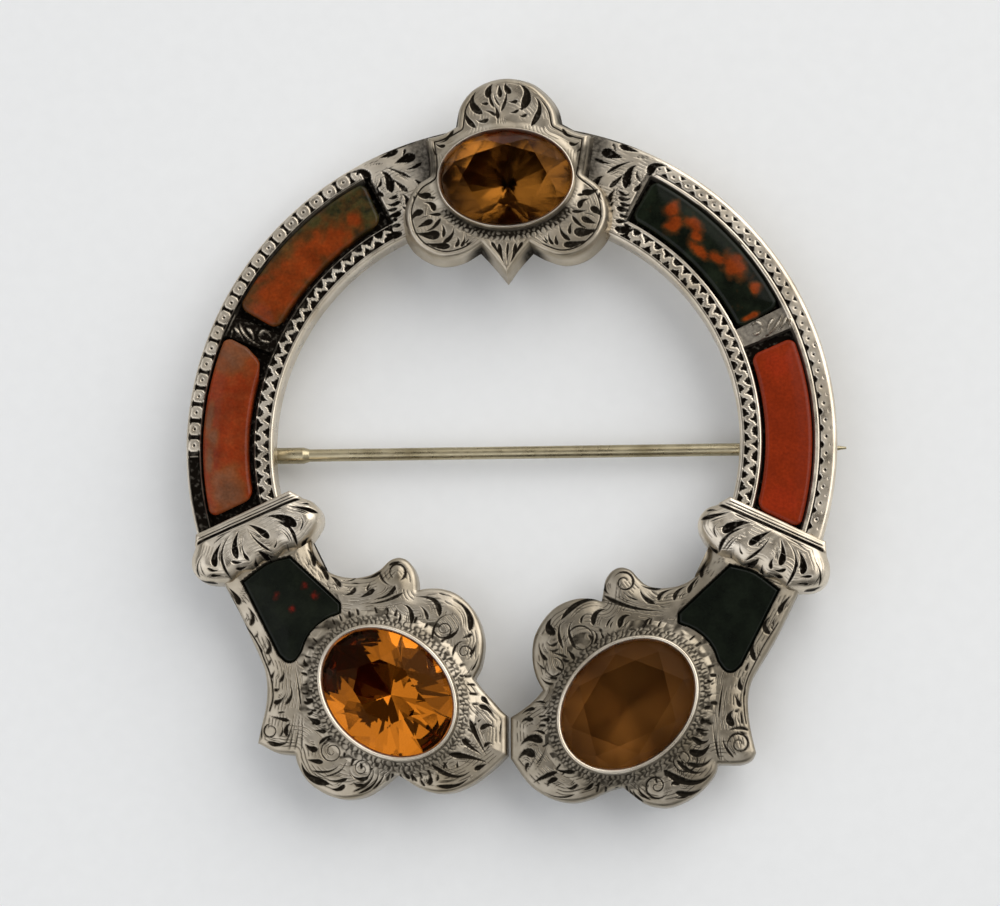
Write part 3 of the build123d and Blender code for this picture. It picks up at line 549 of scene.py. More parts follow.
RIGHT_EDGE = [
    (12.3, 7.6, 11.6, 6.8, 12.0, 6.0, 0.54), (10.9, 5.7, 10.5, 4.8, 10.7, 3.8, 0.52),
    (9.5, 2.5, 9.4, 1.8, 9.5, 1.4, 0.5), (8.9, 0.9, 9.2, 0.3, 9.4, -0.1, 0.44),
    (13.9, 9.3, 13.2, 8.5, 12.8, 7.8, 0.5), (12.7, 7.7, 12.4, 7.1, 12.3, 6.6, 0.22),
    (10.2, 3.7, 10.1, 3.3, 9.9, 2.9, 0.3), (9.4, -0.3, 9.2, -0.5, 9.0, -0.6, 0.3),
    (9.9, 1.7, 9.9, 1.2, 9.7, 0.7, 0.22),
]
RIGHT_SCROLLS = [
    spiral_cut(-0.3, 10.5, 0.3, 0.98, 1.35, 30, 0.28), spiral_cut(2.3, -6.8, 0.1, 1.15, 1.7, 90, 0.26),
    spiral_cut(9.3, -3.3, 0.2, 1.05, 1.6, 0, 0.28), spiral_cut(-4.0, 5.7, 0.9, 1.15, 0.95, 190, 0.24),
    spiral_cut(-6.3, 3.3, 0.7, 0.85, 0.9, 150, 0.22), spiral_cut(4.6, -4.6, 0.15, 1.3, 1.6, 200, 0.24),
    hairline([(12.7, 6.9), (11.5, 5.05), (10.9, 3.9), (10.1, 2.3), (9.75, 1.0), (9.75, -0.4), (9.9, -1.6)], 0.08),
]
ARM_CUTS = {LEFT: (INNER_LOBE + UPPER_EDGE + CONTACT_LEAF + BOTTOM_LOBE + EAR + OUTER_EDGE, SCROLLS),
            RIGHT: (RIGHT_INNER + RIGHT_CURL + RIGHT_CONTACT + RIGHT_BOTTOM + RIGHT_EDGE, RIGHT_SCROLLS)}
print({side: (len(rows), len(scrolls)) for side, (rows, scrolls) in ARM_CUTS.items()}, "cuts and scrolls of the arms")

# %% [markdown]
# The arm's face rises a little towards its setting and rounds off at its edge. Round the bezel runs a band of
# small worn pearls, and outside it short strokes are cut away from the stone. The bed of the neck stone is sunk
# below the face. The darkness of each point, from 0 to 1, is kept beside its height: the silver's material turns
# it into the black that polishing left in the cuts, and into painted shade at the foot of the bezel and in the gap
# round the neck stone.

# %% Relief of the arms, and the two plates
STONE_PATH = outline(NECK_STONE, 260)
ARM_STEPS, ARM_ROWS = 840, 100
# How many pearls and rays go round a bezel, and where their bands lie outside it
BEZEL_OUT = 0.42
PEARLS, PEARL_BAND = 92, 0.95
RAYS, RAYS_FROM, RAYS_TO = 54, 0.9, 1.75
PEARL_DEPTH, RAY_DEPTH, HAIRLINE_DEPTH, HAIRLINE_PITCH = 0.065, 0.075, 0.04, 0.3


def pearled(points, angle, from_bezel, count, wide, seed):
    """The depth between small worn pearls punched round a bezel in rows. Their places and sizes wander."""
    wander = unevenness(*points.T, 0.7, seed + 1)
    row = from_bezel / 0.4 + 0.5 * unevenness(*points.T, 1.0, seed)
    turn = angle * count + 2.2 * np.floor(row) + 3.2 * wander
    pearl = (0.5 + 0.5 * np.cos(turn)) * (0.35 + 0.65 * np.abs(np.sin(np.pi * row))) * (1 + 0.8 * wander)
    band = ramp(from_bezel, 0.0, 0.08) * (1 - ramp(from_bezel, wide - 0.35, wide + 0.2))
    return PEARL_DEPTH * band * np.clip(0.8 - 1.2 * pearl, 0, 1)


def rays(points, angle, from_bezel, count, near, far, seed):
    """Short strokes cut outwards from a bezel, at so many of the oval's angles, here and there left out."""
    stroke = np.clip(np.cos(angle * count + 1.5 * unevenness(*points.T, 1.5, seed)) - 0.3, 0, 1)
    band = ramp(from_bezel, near, near + 0.12) * (1 - ramp(from_bezel, far - 0.35, far))
    return RAY_DEPTH * band * stroke * ramp(unevenness(*points.T, 2.6, seed + 3), -0.2, 0.0)


def shading(points, from_edge, seed):
    """Hairlines at even steps that run along the edge here and there: where a soft unevenness is high."""
    line = np.cos(2 * np.pi * (from_edge + 0.12 * unevenness(*points.T, 2.0, seed)) / HAIRLINE_PITCH)
    here = ramp(unevenness(*points.T, 1.7, seed + 5), -0.1, 0.1) * ramp(from_edge, 0.4, 0.55)
    return HAIRLINE_DEPTH * here * np.clip(line - 0.45, 0, 1)


def arm_relief(edge, cuts, seed):
    """The height and darkness of an arm's face: dome, less rounded edge, less cuts, less the stone's bed."""

    def relief(points):
        from_edge = distance_to(edge, points)
        angle, from_bezel = bezel_side(points, *ARM_OVAL, BEZEL_OUT)
        height = FACE_Z + 0.28 * ramp(from_edge, 0, 1.6) + 0.03 * unevenness(*points.T, 3.0, seed)
        height += 0.6 * (1 - np.clip(from_bezel / 1.35, 0, 1)) - shoulder(from_edge, 0.4)
        depth = np.maximum(engrave(points, cuts), 1.5 * shading(points, from_edge, seed))
        depth = depth * ramp(from_bezel, 0.45, 0.8)
        depth = np.maximum(depth, rays(points, angle, from_bezel, RAYS, RAYS_FROM, RAYS_TO, seed + 20))
        pearls = pearled(points, angle, from_bezel, PEARLS, PEARL_BAND, seed)
        # The pearls hold oxide, and next to the bezel the metal is painted darker as shade at its foot
        grime_and_shade = np.maximum(oxide(depth), 0.6 * oxide(pearls) + 0.25 * (1 - ramp(from_bezel, 0.6, 1.1)))
        depth = np.maximum(depth, pearls)
        from_stone = distance_to(STONE_PATH, points, 1.0) * np.where(within(STONE_PATH, points), -1, 1)
        bed = 1 - ramp(from_stone, 0.0, 0.08)
        height = (height - depth) * (1 - bed) + (LEDGE_Z - 0.35) * bed
        # Round the neck stone the sunk bed is painted dark, as shade in the gap
        return height, np.maximum(grime_and_shade, 1 - ramp(from_stone, 0.0, 0.2))

    return relief


ARM_WALL = [(0.0, 4.7), (0.0, 3.6), (0.0, 2.85), (-0.12, BACK_Z)]
arms = {}
for (side, side_name), runs in zip(SIDES, (LEFT_ARM, RIGHT_ARM)):
    edge = outline(runs, ARM_STEPS)
    bezel = matched_loop(edge, *ARM_OVAL, 0.2)
    rows, scrolls = ARM_CUTS[side]
    relief = arm_relief(edge, hand_cut(shaded(rows), 3 + side, 0.03) + scrolls, 3 + side)
    arms[side] = plate(f"{side_name}_terminal", bezel, edge, ARM_ROWS, relief, ARM_WALL, in_arm(side))

# %% [markdown]
# ## The ring
# The band is a flat section carried round the ring in two halves that meet under the boss. Across its width
# run, from the inside: a plain rounded rim, a zigzag left standing between two rows of three-cornered punch
# marks, a sunk floor with the cells for the stones, and a border of flat beads, each with a punched dot.

# %% Relief of the ring
# Degrees above the middle: both ends of the upper stones, the top of the lower ones, and the band's own end
UPPER_TOP, UPPER_FOOT, LOWER_TOP, BAND_END = 60.6, 26.8, 20.2, -20.0
# Degrees from one bead to the next and from one zigzag to the next, and where the beads stop
BEAD_PITCH, ZIGZAG_PITCH, BEADS_END = 3.05, 3.0, 61.2
# Radii of the stones and of the borders
STONE_OUTER, STONE_WIDTH = 26.4, 4.0
BEADS_IN = {LEFT: 26.98, RIGHT: 26.86}
BEADS_OUT = {LEFT: 27.95, RIGHT: 27.66}
BEAD_RADIUS, DOT_RADIUS = 27.4, 0.15
ZIGZAG_IN, ZIGZAG_MIDDLE, ZIGZAG_OUT = 20.58, 21.17, 21.72
FLOOR_IN = {LEFT: 21.8, RIGHT: 22.05}
FLOOR_OUT, FLOOR_DEPTH, CELL_DEPTH = 26.5, 0.3, 0.75
SOFT = 0.06
# How far right the inlay's middle lies, and the boss citrine's cup as a share of its oval
INLAY_SHIFT, CUP_SHARE = -0.32, 0.861


def inlay_radius(x, y):
    """Distance from the middle of the inlay and the opening, which lie a little left of the outer circle's."""
    return np.hypot(x - INLAY_SHIFT, y)


def bead_band(radius, angle, side):
    """Flat beads: between two of them a wedge is cut from each side of the band, and each has a punched dot."""
    low, high = BEADS_IN[side], BEADS_OUT[side]
    middle, broad = (low + high) / 2, (high - low) / 2
    inside = ramp(radius, low - 0.03, low + 0.03) * (1 - ramp(radius, high - 0.03, high + 0.03))
    inside *= 1 - ramp(angle, BEADS_END, BEADS_END + 0.4)
    step = angle / BEAD_PITCH
    along = np.abs(step - np.round(step)) * np.radians(BEAD_PITCH) * BEAD_RADIUS
    outer_share = np.clip((radius - low) / (high - low), 0, 1)
    narrow = np.abs(2 * outer_share - 1)
    if side == LEFT:
        size = 0.56 - 0.05 * (1 - ramp(angle, -2, 25))
        wedge = 0.45 * (((along / size) ** 3 + (np.abs(radius - middle) / broad) ** 3) ** (1 / 3) - 1)
    else:
        half = 0.42 * narrow**1.2 - 0.02 - 0.26 * outer_share * (1 - ramp(angle, 5, 35))
        wedge = GRAVER_SLOPE * 1.2 * (half - (0.73 - along))
    dot = 0.9 * (DOT_RADIUS - np.hypot(along, radius - middle))
    lost = (1 - ramp(angle, -2.6, -1.9)) * 0.2 if side == LEFT else 0
    return inside * np.clip(np.maximum(np.maximum(wedge, dot), lost), 0, 0.22)


def zigzag_band(radius, angle, x):
    """Three-cornered punch marks in two rows that face each other leave a zigzag of metal standing. A fine line
    runs inside them. The more a stretch is worn, the broader its zigzag stands."""
    inside = ramp(radius, ZIGZAG_IN, ZIGZAG_IN + SOFT) * (1 - ramp(radius, ZIGZAG_OUT, ZIGZAG_OUT + SOFT))
    inside *= 1 - ramp(angle, 61.5, 62.5)
    swing = np.abs((angle / ZIGZAG_PITCH) % 1 - 0.5) * 4 - 1
    off = np.abs(radius - ZIGZAG_MIDDLE - 0.3 * swing) * 0.62
    worn = np.where(x < 0, 0.16 - 0.07 * ramp(angle, 15, 25), 0.15)
    worn += 0.04 * np.sin(angle * 5.3) + 0.03 * np.sin(angle * 13.1)
    line = 0.07 - np.abs(radius - ZIGZAG_IN + 0.08)
    return np.maximum(inside * np.clip(0.9 * (off - worn), 0, 0.2), 0.5 * line)


def ring_relief(xy, angle, side):
    """The height and darkness of the band's face. angle is degrees above the middle."""
    radius, inlay = np.hypot(*xy.T), inlay_radius(*xy.T)
    height = FACE_Z + 0.03 * unevenness(*xy.T, 3.0, 40 + side)
    height -= shoulder(RING_OUTER - radius, 0.4)
    zigzag = zigzag_band(inlay, angle + 0.5 * unevenness(*xy.T, 1.4, 44), xy[:, 0])
    depth = np.maximum(bead_band(radius, angle, side), zigzag)
    line = 0.1 - np.abs(radius - BEADS_IN[side] + 0.12)
    depth = np.maximum(depth, GRAVER_SLOPE * line * (1 - ramp(angle, 60, 62)))
    depth = np.maximum(depth, engrave(xy, RING_CUTS[side]))
    depth = np.maximum(depth, 1.4 * shading(xy, RING_OUTER - radius, 47 + side) * ramp(angle, 63, 64))
    # The floor between the borders, the bar between two stones with its raised scroll, and the cells
    floor = ramp(inlay, FLOOR_IN[side], FLOOR_IN[side] + 0.12) * (1 - ramp(inlay, FLOOR_OUT, FLOOR_OUT + 0.15))
    floor *= 1 - ramp(angle, 62.4, 62.9)
    scroll = np.clip(engrave(xy, SCROLL_CUTS[side]) / 0.06, 0, 1)
    height -= floor * FLOOR_DEPTH - 0.25 * scroll
    cell = ramp(inlay, STONE_OUTER - STONE_WIDTH - 0.35, STONE_OUTER - STONE_WIDTH - 0.2)
    cell *= 1 - ramp(inlay, STONE_OUTER, STONE_OUTER + 0.1)
    upper = ramp(angle, UPPER_FOOT - 1.1, UPPER_FOOT - 0.7)
    upper *= 1 - ramp(angle, UPPER_TOP + 1.0, UPPER_TOP + 1.4)
    lower = 1 - ramp(angle, LOWER_TOP + 0.8, LOWER_TOP + 1.2)
    sunk = cell * np.maximum(upper, lower)
    height -= depth * (1 - sunk) + sunk * CELL_DEPTH
    # The cells and the sunk floor are painted dark: shellac under the stones, and painted shade in the gaps round
    # them
    outside = ramp(inlay, STONE_OUTER - 0.1, STONE_OUTER + 0.1) * ramp(angle, 20, 25)
    grey = ((1 - 0.55 * outside) if side == LEFT else 0.7) * floor * (1 - 0.8 * scroll)
    # The shoulders are more tarnished, and from 69 degrees up the band is painted dark as the boss's shadow
    grey += 0.22 * ramp(angle, 62, 64) + 0.6 * ramp(angle, 69, 73)
    # Under the boss the ring is drilled out for the citrine's cup
    length, width, turn = BOSS_OVAL
    from_cup = bezel_side(xy - [0, BOSS_Y], CUP_SHARE * length, CUP_SHARE * width, turn, 0)[1]
    drilled = 1 - ramp(from_cup, -0.1, 0.05)
    return height * (1 - drilled) + (BACK_Z + 0.04) * drilled, np.maximum(oxide(depth), np.maximum(sunk, grey))


def ring_half(side, name, count=540, rows=112):
    """The face over an even grid of angle and share across, then the outer wall, the back and the inner wall.
    The opening's edge, at share 0, lies on its own circle, a little left of the outer one."""
    angle = np.linspace(BAND_END, 90, count)
    turn, share = np.radians(angle)[:, None], np.linspace(0, 1, rows)[None, :]
    opening = OPENING_R + side * INLAY_SHIFT * np.cos(turn)
    R = opening + (RING_OUTER - opening) * share
    X, Y = side * R * np.cos(turn), R * np.sin(turn)
    flat = np.stack([X.ravel(), Y.ravel()], 1)
    height, dark = ring_relief(flat, np.repeat(angle, rows), side)
    height = height.reshape(R.shape) - shoulder(R - opening, 0.3)
    wall = [(RING_OUTER, 4.5), (RING_OUTER, 2.9), (RING_OUTER - 0.2, BACK_Z)]
    inner_wall = [(0.2, BACK_Z), (0.0, 2.9), (0.0, 4.6)]
    rest_r = np.hstack([np.full((count, 1), r) for r, _ in wall] + [opening + r for r, _ in inner_wall])
    rest_z = np.broadcast_to([z for _, z in wall + inner_wall], rest_r.shape)
    P = np.stack([np.hstack([X, side * rest_r * np.cos(turn)]), np.hstack([Y, rest_r * np.sin(turn)]),
                  np.hstack([height, rest_z])], -1)
    return add_solid(name, P, wrap_u=False, cut=np.hstack([dark.reshape(R.shape), np.zeros(rest_r.shape)]))


# %% [markdown]
# Between each upper stone and the boss the band carries an acanthus leaf, and between two stones a small bar
# with a raised scroll.

# %% Cuts of the ring, and its two halves
SHOULDER_LEAF = [
    # millimetres outward and up from the ring's centre, for the left side
    (12.6, 25.15, 11.0, 25.85, 8.1, 26.95, 0.15), (11.6, 25.4, 10.7, 25.65, 9.8, 26.0, 0.46),
    (9.5, 25.4, 9.3, 25.7, 9.1, 26.2, 0.24), (10.1, 24.85, 9.2, 25.2, 8.4, 25.5, 0.72),
    (9.3, 24.35, 8.4, 24.5, 7.6, 24.9, 0.3), (11.2, 24.65, 10.0, 24.3, 8.6, 23.6, 0.28),
    (10.2, 23.6, 9.6, 23.0, 8.9, 22.3, 0.38), (11.3, 24.2, 10.65, 23.7, 10.3, 22.3, 0.62),
    (11.5, 23.8, 11.25, 23.4, 11.5, 22.8, 0.28), (11.7, 23.1, 11.5, 22.4, 11.0, 22.0, 0.34),
    (14.1, 24.0, 12.9, 24.2, 12.35, 23.4, 0.62), (13.6, 24.4, 12.4, 24.9, 11.3, 25.2, 0.1),
    (13.0, 24.5, 12.1, 24.8, 11.2, 25.0, 0.1), (12.6, 24.6, 11.8, 24.85, 11.0, 24.95, 0.09),
    (12.0, 23.9, 11.9, 23.4, 12.0, 22.9, 0.1), (11.8, 23.9, 11.7, 23.5, 11.8, 23.0, 0.1),
    (11.5, 22.3, 11.2, 21.0, 10.8, 19.8, 0.16), (10.7, 21.85, 10.3, 21.7, 9.7, 22.0, 0.3),
    (10.8, 21.4, 10.3, 21.2, 9.6, 21.4, 0.34), (10.8, 20.9, 10.4, 20.7, 9.8, 20.9, 0.32),
    (10.7, 20.25, 10.2, 20.25, 9.5, 20.4, 0.44), (10.7, 19.8, 10.2, 19.75, 9.8, 19.9, 0.32),
    (10.7, 19.3, 10.1, 19.25, 9.5, 19.35, 0.36), (10.9, 18.6, 10.4, 18.4, 9.4, 18.6, 0.56),
    (9.5, 22.2, 9.0, 21.7, 8.9, 21.0, 0.4), (9.4, 21.0, 9.1, 20.9, 8.9, 20.6, 0.24),
    (9.3, 20.3, 9.0, 20.1, 8.8, 19.8, 0.3), (8.4, 23.4, 7.8, 23.0, 7.4, 22.3, 0.5),
    (9.8, 22.6, 9.5, 22.1, 9.5, 21.5, 0.12), (10.0, 22.9, 9.4, 22.4, 9.2, 21.8, 0.1),
]
BAR_SCROLL = [
    # angle above the middle and radius of the start, the middle and the end, then the width
    (21.8, 22.9, 22.4, 24.6, 24.6, 26.0, 0.3), (24.4, 22.7, 25.2, 23.6, 24.0, 24.0, 0.34),
    (24.0, 24.0, 23.0, 23.6, 23.2, 23.0, 0.3), (22.2, 24.2, 23.6, 24.6, 24.3, 25.2, 0.36),
    (21.6, 25.0, 22.6, 25.6, 23.4, 26.2, 0.34), (21.4, 26.3, 22.2, 26.2, 22.8, 26.4, 0.24),
]


def round_ring(side, rows):
    """Rows of angle and radius, turned into rows of x and y."""
    rows = np.array(rows, float)
    angle, radius = np.radians(rows[:, 0:6:2]), rows[:, 1:6:2]
    xy = np.stack([side * radius * np.cos(angle), radius * np.sin(angle)], -1).reshape(-1, 6)
    return np.hstack([xy, rows[:, 6:]])


RING_CUTS, SCROLL_CUTS = {}, {}
for side, side_name in SIDES:
    leaf = shaded(np.array(SHOULDER_LEAF) * [side, 1, side, 1, side, 1, 1.35])
    RING_CUTS[side] = hand_cut(leaf, 20 + side, 0.04)
    SCROLL_CUTS[side] = hand_cut(round_ring(side, BAR_SCROLL), 22 + side, 0.05)
    ring_half(side, f"{side_name}_ring_half")

# %% [markdown]
# ## The capitals
# Each end of the ring is clasped by a cushion with a reeded collar above and leaves below, like the capital of
# a column. Its outline is laid out along the collar's line, which slopes. It is a pillow: the height rises from
# its edge as a quarter circle does.

# %% The capitals
# Where the collar's middle lies, in degrees below the ring's middle, and how its line slopes
COLLAR_ANGLE, COLLAR_INSET = 14.75, 0.38
COLLAR_TURN = {LEFT: 24.7, RIGHT: 26.2}
BAND_MIDDLE = (RING_OUTER + RING_INNER) / 2
CAPITAL_TOP, PILLOW_R = 6.45, 1.5
CAPITAL_STEPS, CAPITAL_ROWS = 450, 58
CAPITAL = [
    [(-5.0, -0.9), (-5.75, -1.7), (-6.0, -2.7), (-5.7, -3.6), (-5.0, -4.2), (-4.3, -4.6)],
    [(-3.2, -4.95), (-1.9, -4.7)],
    [(-0.9, -4.95), (0.3, -4.7)],
    [(1.3, -5.0), (2.3, -4.75)],
    [(3.4, -5.1), (4.5, -4.7)],
    [(5.4, -4.2), (6.0, -3.5), (6.15, -2.6), (5.8, -1.7), (5.1, -0.9), (4.6, 0.0)],
    [(-4.35, 0.0)],
]
CAPITAL_CUTS = [
    (0.2, -1.2, -0.6, -2.1, -1.1, -3.1, 0.5), (-1.6, -1.3, -2.9, -2.0, -3.6, -3.1, 0.65),
    (-3.4, -1.1, -4.7, -1.9, -5.7, -2.8, 0.34), (-4.6, -1.6, -5.1, -1.7, -5.6, -1.9, 0.2),
    (-1.6, -1.6, -2.9, -3.0, -3.2, -4.7, 0.3), (0.2, -1.5, 0.1, -2.8, -0.8, -4.4, 0.24),
    (0.9, -1.4, 1.7, -2.4, 2.1, -3.5, 0.5), (1.2, -1.3, 3.0, -2.5, 3.3, -4.8, 0.26),
    (2.6, -1.7, 3.7, -2.5, 4.0, -3.4, 0.5), (4.2, -1.8, 5.3, -2.6, 5.7, -3.6, 0.18),
    (6.0, -3.4, 5.4, -4.1, 4.7, -4.6, 0.26), (3.8, -3.9, 4.3, -3.7, 4.7, -3.3, 0.24),
    (3.7, -4.5, 4.3, -4.3, 4.8, -4.0, 0.24), (1.6, -4.0, 2.1, -4.0, 2.6, -3.7, 0.26),
    (1.6, -4.5, 2.1, -4.5, 2.6, -4.3, 0.24), (0.2, -3.7, 0.0, -4.2, -0.4, -4.8, 0.4),
    (0.6, -4.1, 0.8, -4.5, 0.9, -4.8, 0.3), (1.3, -3.1, 1.3, -3.6, 1.4, -4.2, 0.3),
    (-3.9, -2.2, -4.4, -3.0, -3.8, -3.7, 0.16), (-4.4, -4.4, -3.8, -4.6, -3.3, -4.8, 0.26),
    (-1.7, -3.3, -1.6, -3.8, -1.2, -4.0, 0.16), (-2.4, -4.1, -2.2, -4.5, -2.0, -4.8, 0.14),
    (-0.6, -1.2, -2.2, -1.25, -3.2, -1.2, 0.14), (-0.5, -1.4, -1.8, -1.5, -3.0, -1.7, 0.12),
    (1.2, -1.2, 2.4, -1.35, 3.4, -1.5, 0.12), (0.5, -1.1, 1.8, -1.2, 3.0, -1.2, 0.12),
    (-3.0, -1.4, -3.3, -2.2, -4.3, -3.2, 0.1), (4.9, -2.2, 5.3, -3.0, 5.2, -3.7, 0.12),
]


def in_collar(side):
    """A function that moves (outward along the collar, up across it) points to the ring's (x, y)."""
    at, turn = np.radians(COLLAR_ANGLE), np.radians(COLLAR_TURN[side])

    def place(p):
        x, y = p[..., 0] - COLLAR_INSET, p[..., 1]
        px = BAND_MIDDLE * np.cos(at) + x * np.cos(turn) + y * np.sin(turn)
        py = -BAND_MIDDLE * np.sin(at) - x * np.sin(turn) + y * np.cos(turn)
        return np.stack([side * px, py - DROP[side]], -1)

    return place


def capital_relief(edge, seed):
    """A pillow with two fine grooves and one deep one under the collar, and the leaves cut into it."""

    def relief(points):
        from_edge = distance_to(edge, points)
        collar = ramp(points[:, 1], -1.0, -0.8)
        height = CAPITAL_TOP - shoulder(from_edge, PILLOW_R) * (1 - 0.75 * collar) - 0.45 * collar
        height += 0.05 * unevenness(*points.T, 2.6, seed)
        grooves = [(-0.3, 0.09), (-0.58, 0.09), (-0.92, 0.2)]
        rows = np.array(shaded(CAPITAL_CUTS)) * [1, 1, 1, 1, 1, 1, 1.35]
        depth = engrave(points, hand_cut(rows, seed, 0.06))
        depth = np.maximum(depth, shading(points, from_edge, seed) * (1 - collar))
        for middle, half in grooves:
            line = GRAVER_SLOPE * (half - np.abs(points[:, 1] - middle - 0.02 * points[:, 0]))
            depth = np.maximum(depth, line * ramp(from_edge, 0.1, 0.5))
        return height - depth, oxide(depth)

    return relief


edge = outline(CAPITAL, CAPITAL_STEPS)
spine = ellipse(6.4, 0.04, (0.1, -2.6), 0, np.unwrap(np.arctan2(edge[:, 1] + 2.6, edge[:, 0] / 2.2)))
wall = [(0.0, 4.5), (0.0, 3.6), (0.0, 2.9), (-0.15, BACK_Z)]
for side, side_name in SIDES:
    relief = capital_relief(edge, 30 + side)
    plate(f"{side_name}_capital", spine, edge, CAPITAL_ROWS, relief, wall, in_collar(side), hole=False)

# %% [markdown]
# ## The boss
# The trefoil at the top is a thick plate that spreads towards its back. Its side is not a plain offset of its
# outline, which would cross itself in the notches, but the outline enlarged about its middle.

# %% The boss
BOSS_FACE_Z, BOSS_BACK_Z = 7.0, 4.8
BOSS_STEPS, BOSS_ROWS, BOSS_PEARLS = 820, 64, 90
BOSS = [
    [(6.8, 1.6), (7.15, 3.95)],
    [(5.9, 4.3), (4.4, 5.1)],
    [(4.1, 6.4), (3.3, 7.6), (2.0, 8.7), (0.2, 9.2), (-1.6, 8.95), (-3.1, 8.1), (-4.0, 6.8), (-4.3, 5.0)],
    [(-5.6, 4.3), (-6.9, 4.0)],
    [(-6.6, 1.8), (-6.6, 0.6)],
    [(-7.8, -0.2), (-8.6, -1.6), (-8.8, -3.1), (-8.3, -4.8), (-7.2, -6.0), (-5.5, -6.7), (-3.7, -6.4),
     (-2.2, -5.5)],
    [(-1.2, -6.7), (0.0, -8.3)],
    [(1.0, -6.8), (2.0, -5.6)],
    [(3.2, -6.3), (4.8, -6.8), (6.5, -6.4), (7.9, -5.2), (8.6, -3.7), (8.6, -2.2), (8.0, -0.7), (6.6, 0.5)],
]
BOSS_CUTS = [
    (-1.2, 8.75, -1.55, 8.3, -1.7, 7.6, 0.52), (-0.65, 8.65, -0.62, 8.2, -0.52, 7.55, 0.4),
    (-0.1, 8.85, 0.05, 8.4, 0.3, 7.9, 0.48), (-1.2, 8.5, -1.45, 7.6, -1.0, 6.65, 0.28),
    (-1.1, 6.9, -0.85, 6.3, -0.8, 5.6, 0.34), (-1.2, 8.2, -1.05, 7.4, -0.6, 6.75, 0.2),
    (-0.05, 8.2, -0.05, 7.4, -0.45, 6.3, 0.28), (-2.55, 8.1, -3.0, 7.1, -2.2, 6.1, 0.58),
    (-2.1, 6.35, -1.5, 6.2, -0.95, 5.85, 0.28), (-2.4, 7.15, -2.0, 6.95, -1.65, 7.0, 0.28),
    (-2.75, 5.55, -2.2, 5.35, -1.65, 5.6, 0.34), (-3.6, 6.6, -3.5, 5.7, -2.8, 4.85, 0.42),
    (0.05, 7.15, 0.5, 7.05, 0.95, 7.2, 0.32), (1.0, 8.65, 1.8, 7.8, 1.45, 6.5, 0.68),
    (2.35, 7.6, 2.85, 6.4, 2.2, 4.95, 0.46), (1.1, 5.85, 1.4, 5.75, 1.75, 5.9, 0.28),
    (0.2, 6.15, 0.6, 6.05, 1.0, 6.3, 0.26), (0.95, 6.55, 1.2, 6.35, 1.4, 6.45, 0.2),
    (-6.2, 3.8, -5.2, 3.9, -4.7, 4.6, 0.3), (-6.4, 3.6, -5.9, 3.2, -5.4, 3.3, 0.3),
    (-6.3, 3.7, -5.6, 3.6, -5.0, 4.0, 0.16), (-6.5, 3.4, -6.4, 2.8, -6.1, 2.4, 0.22),
    (0.0, -7.6, 0.05, -6.6, 0.1, -5.5, 0.24), (-0.15, -7.5, -0.5, -6.6, -0.7, -5.6, 0.34),
    (0.2, -7.5, 0.55, -6.6, 0.75, -5.6, 0.34), (-0.2, -7.3, -0.9, -6.2, -1.3, -5.5, 0.28),
    (0.3, -7.3, 1.0, -6.2, 1.4, -5.5, 0.28),
]
BOSS_CUTS += [(-0.8 + 0.13 * n, 5.85, -0.8 + 0.13 * n, 5.5, -0.85 + 0.14 * n, 5.1, 0.09) for n in range(6)]
SIDE_LOBE = [
    # the left lobe; the right one has the same leaves mirrored
    (-8.0, -0.85, -7.4, -1.15, -6.7, -1.15, 0.52), (-7.6, -1.35, -6.8, -1.4, -6.2, -1.45, 0.22),
    (-7.3, -1.85, -6.6, -1.95, -6.35, -2.55, 0.44), (-7.1, -2.8, -6.4, -2.9, -5.7, -2.9, 0.3),
    (-8.3, -3.55, -8.0, -2.95, -7.35, -2.65, 0.52), (-8.0, -3.9, -7.4, -3.2, -6.8, -3.15, 0.13),
    (-7.9, -4.05, -7.2, -3.8, -6.6, -3.45, 0.48), (-7.2, -4.4, -6.4, -4.1, -5.75, -3.3, 0.32),
    (-5.75, -3.7, -5.5, -4.25, -5.5, -4.9, 0.3), (-8.0, -4.45, -6.9, -4.75, -6.05, -4.65, 0.7),
    (-4.6, -3.9, -4.8, -4.75, -5.5, -5.4, 0.36), (-7.1, -5.4, -6.1, -5.7, -5.0, -5.8, 0.52),
    (-4.35, -4.85, -4.2, -5.35, -4.4, -5.8, 0.32), (-3.7, -4.55, -3.7, -5.25, -4.0, -5.75, 0.28),
    (-2.9, -5.15, -3.2, -5.45, -3.5, -5.65, 0.18), (-8.5, -2.15, -8.1, -1.65, -8.1, -1.25, 0.2),
    (-3.2, -4.8, -3.3, -5.2, -3.6, -5.5, 0.16),
]
BOSS_CUTS += SIDE_LOBE + (np.array(SIDE_LOBE) * [-1, 1, -1, 1, -1, 1, 1]).tolist()
BOSS_CUTS += [(6.3, 3.8, 5.4, 3.9, 4.9, 4.5, 0.3), (6.5, 3.5, 6.0, 3.1, 5.5, 3.3, 0.3),
              (6.6, 3.3, 6.5, 2.8, 6.1, 2.4, 0.2)]


def in_boss(p):
    """Moves (outward, up) points of the boss to the ring's (x, y)."""
    return p + [0, BOSS_Y]


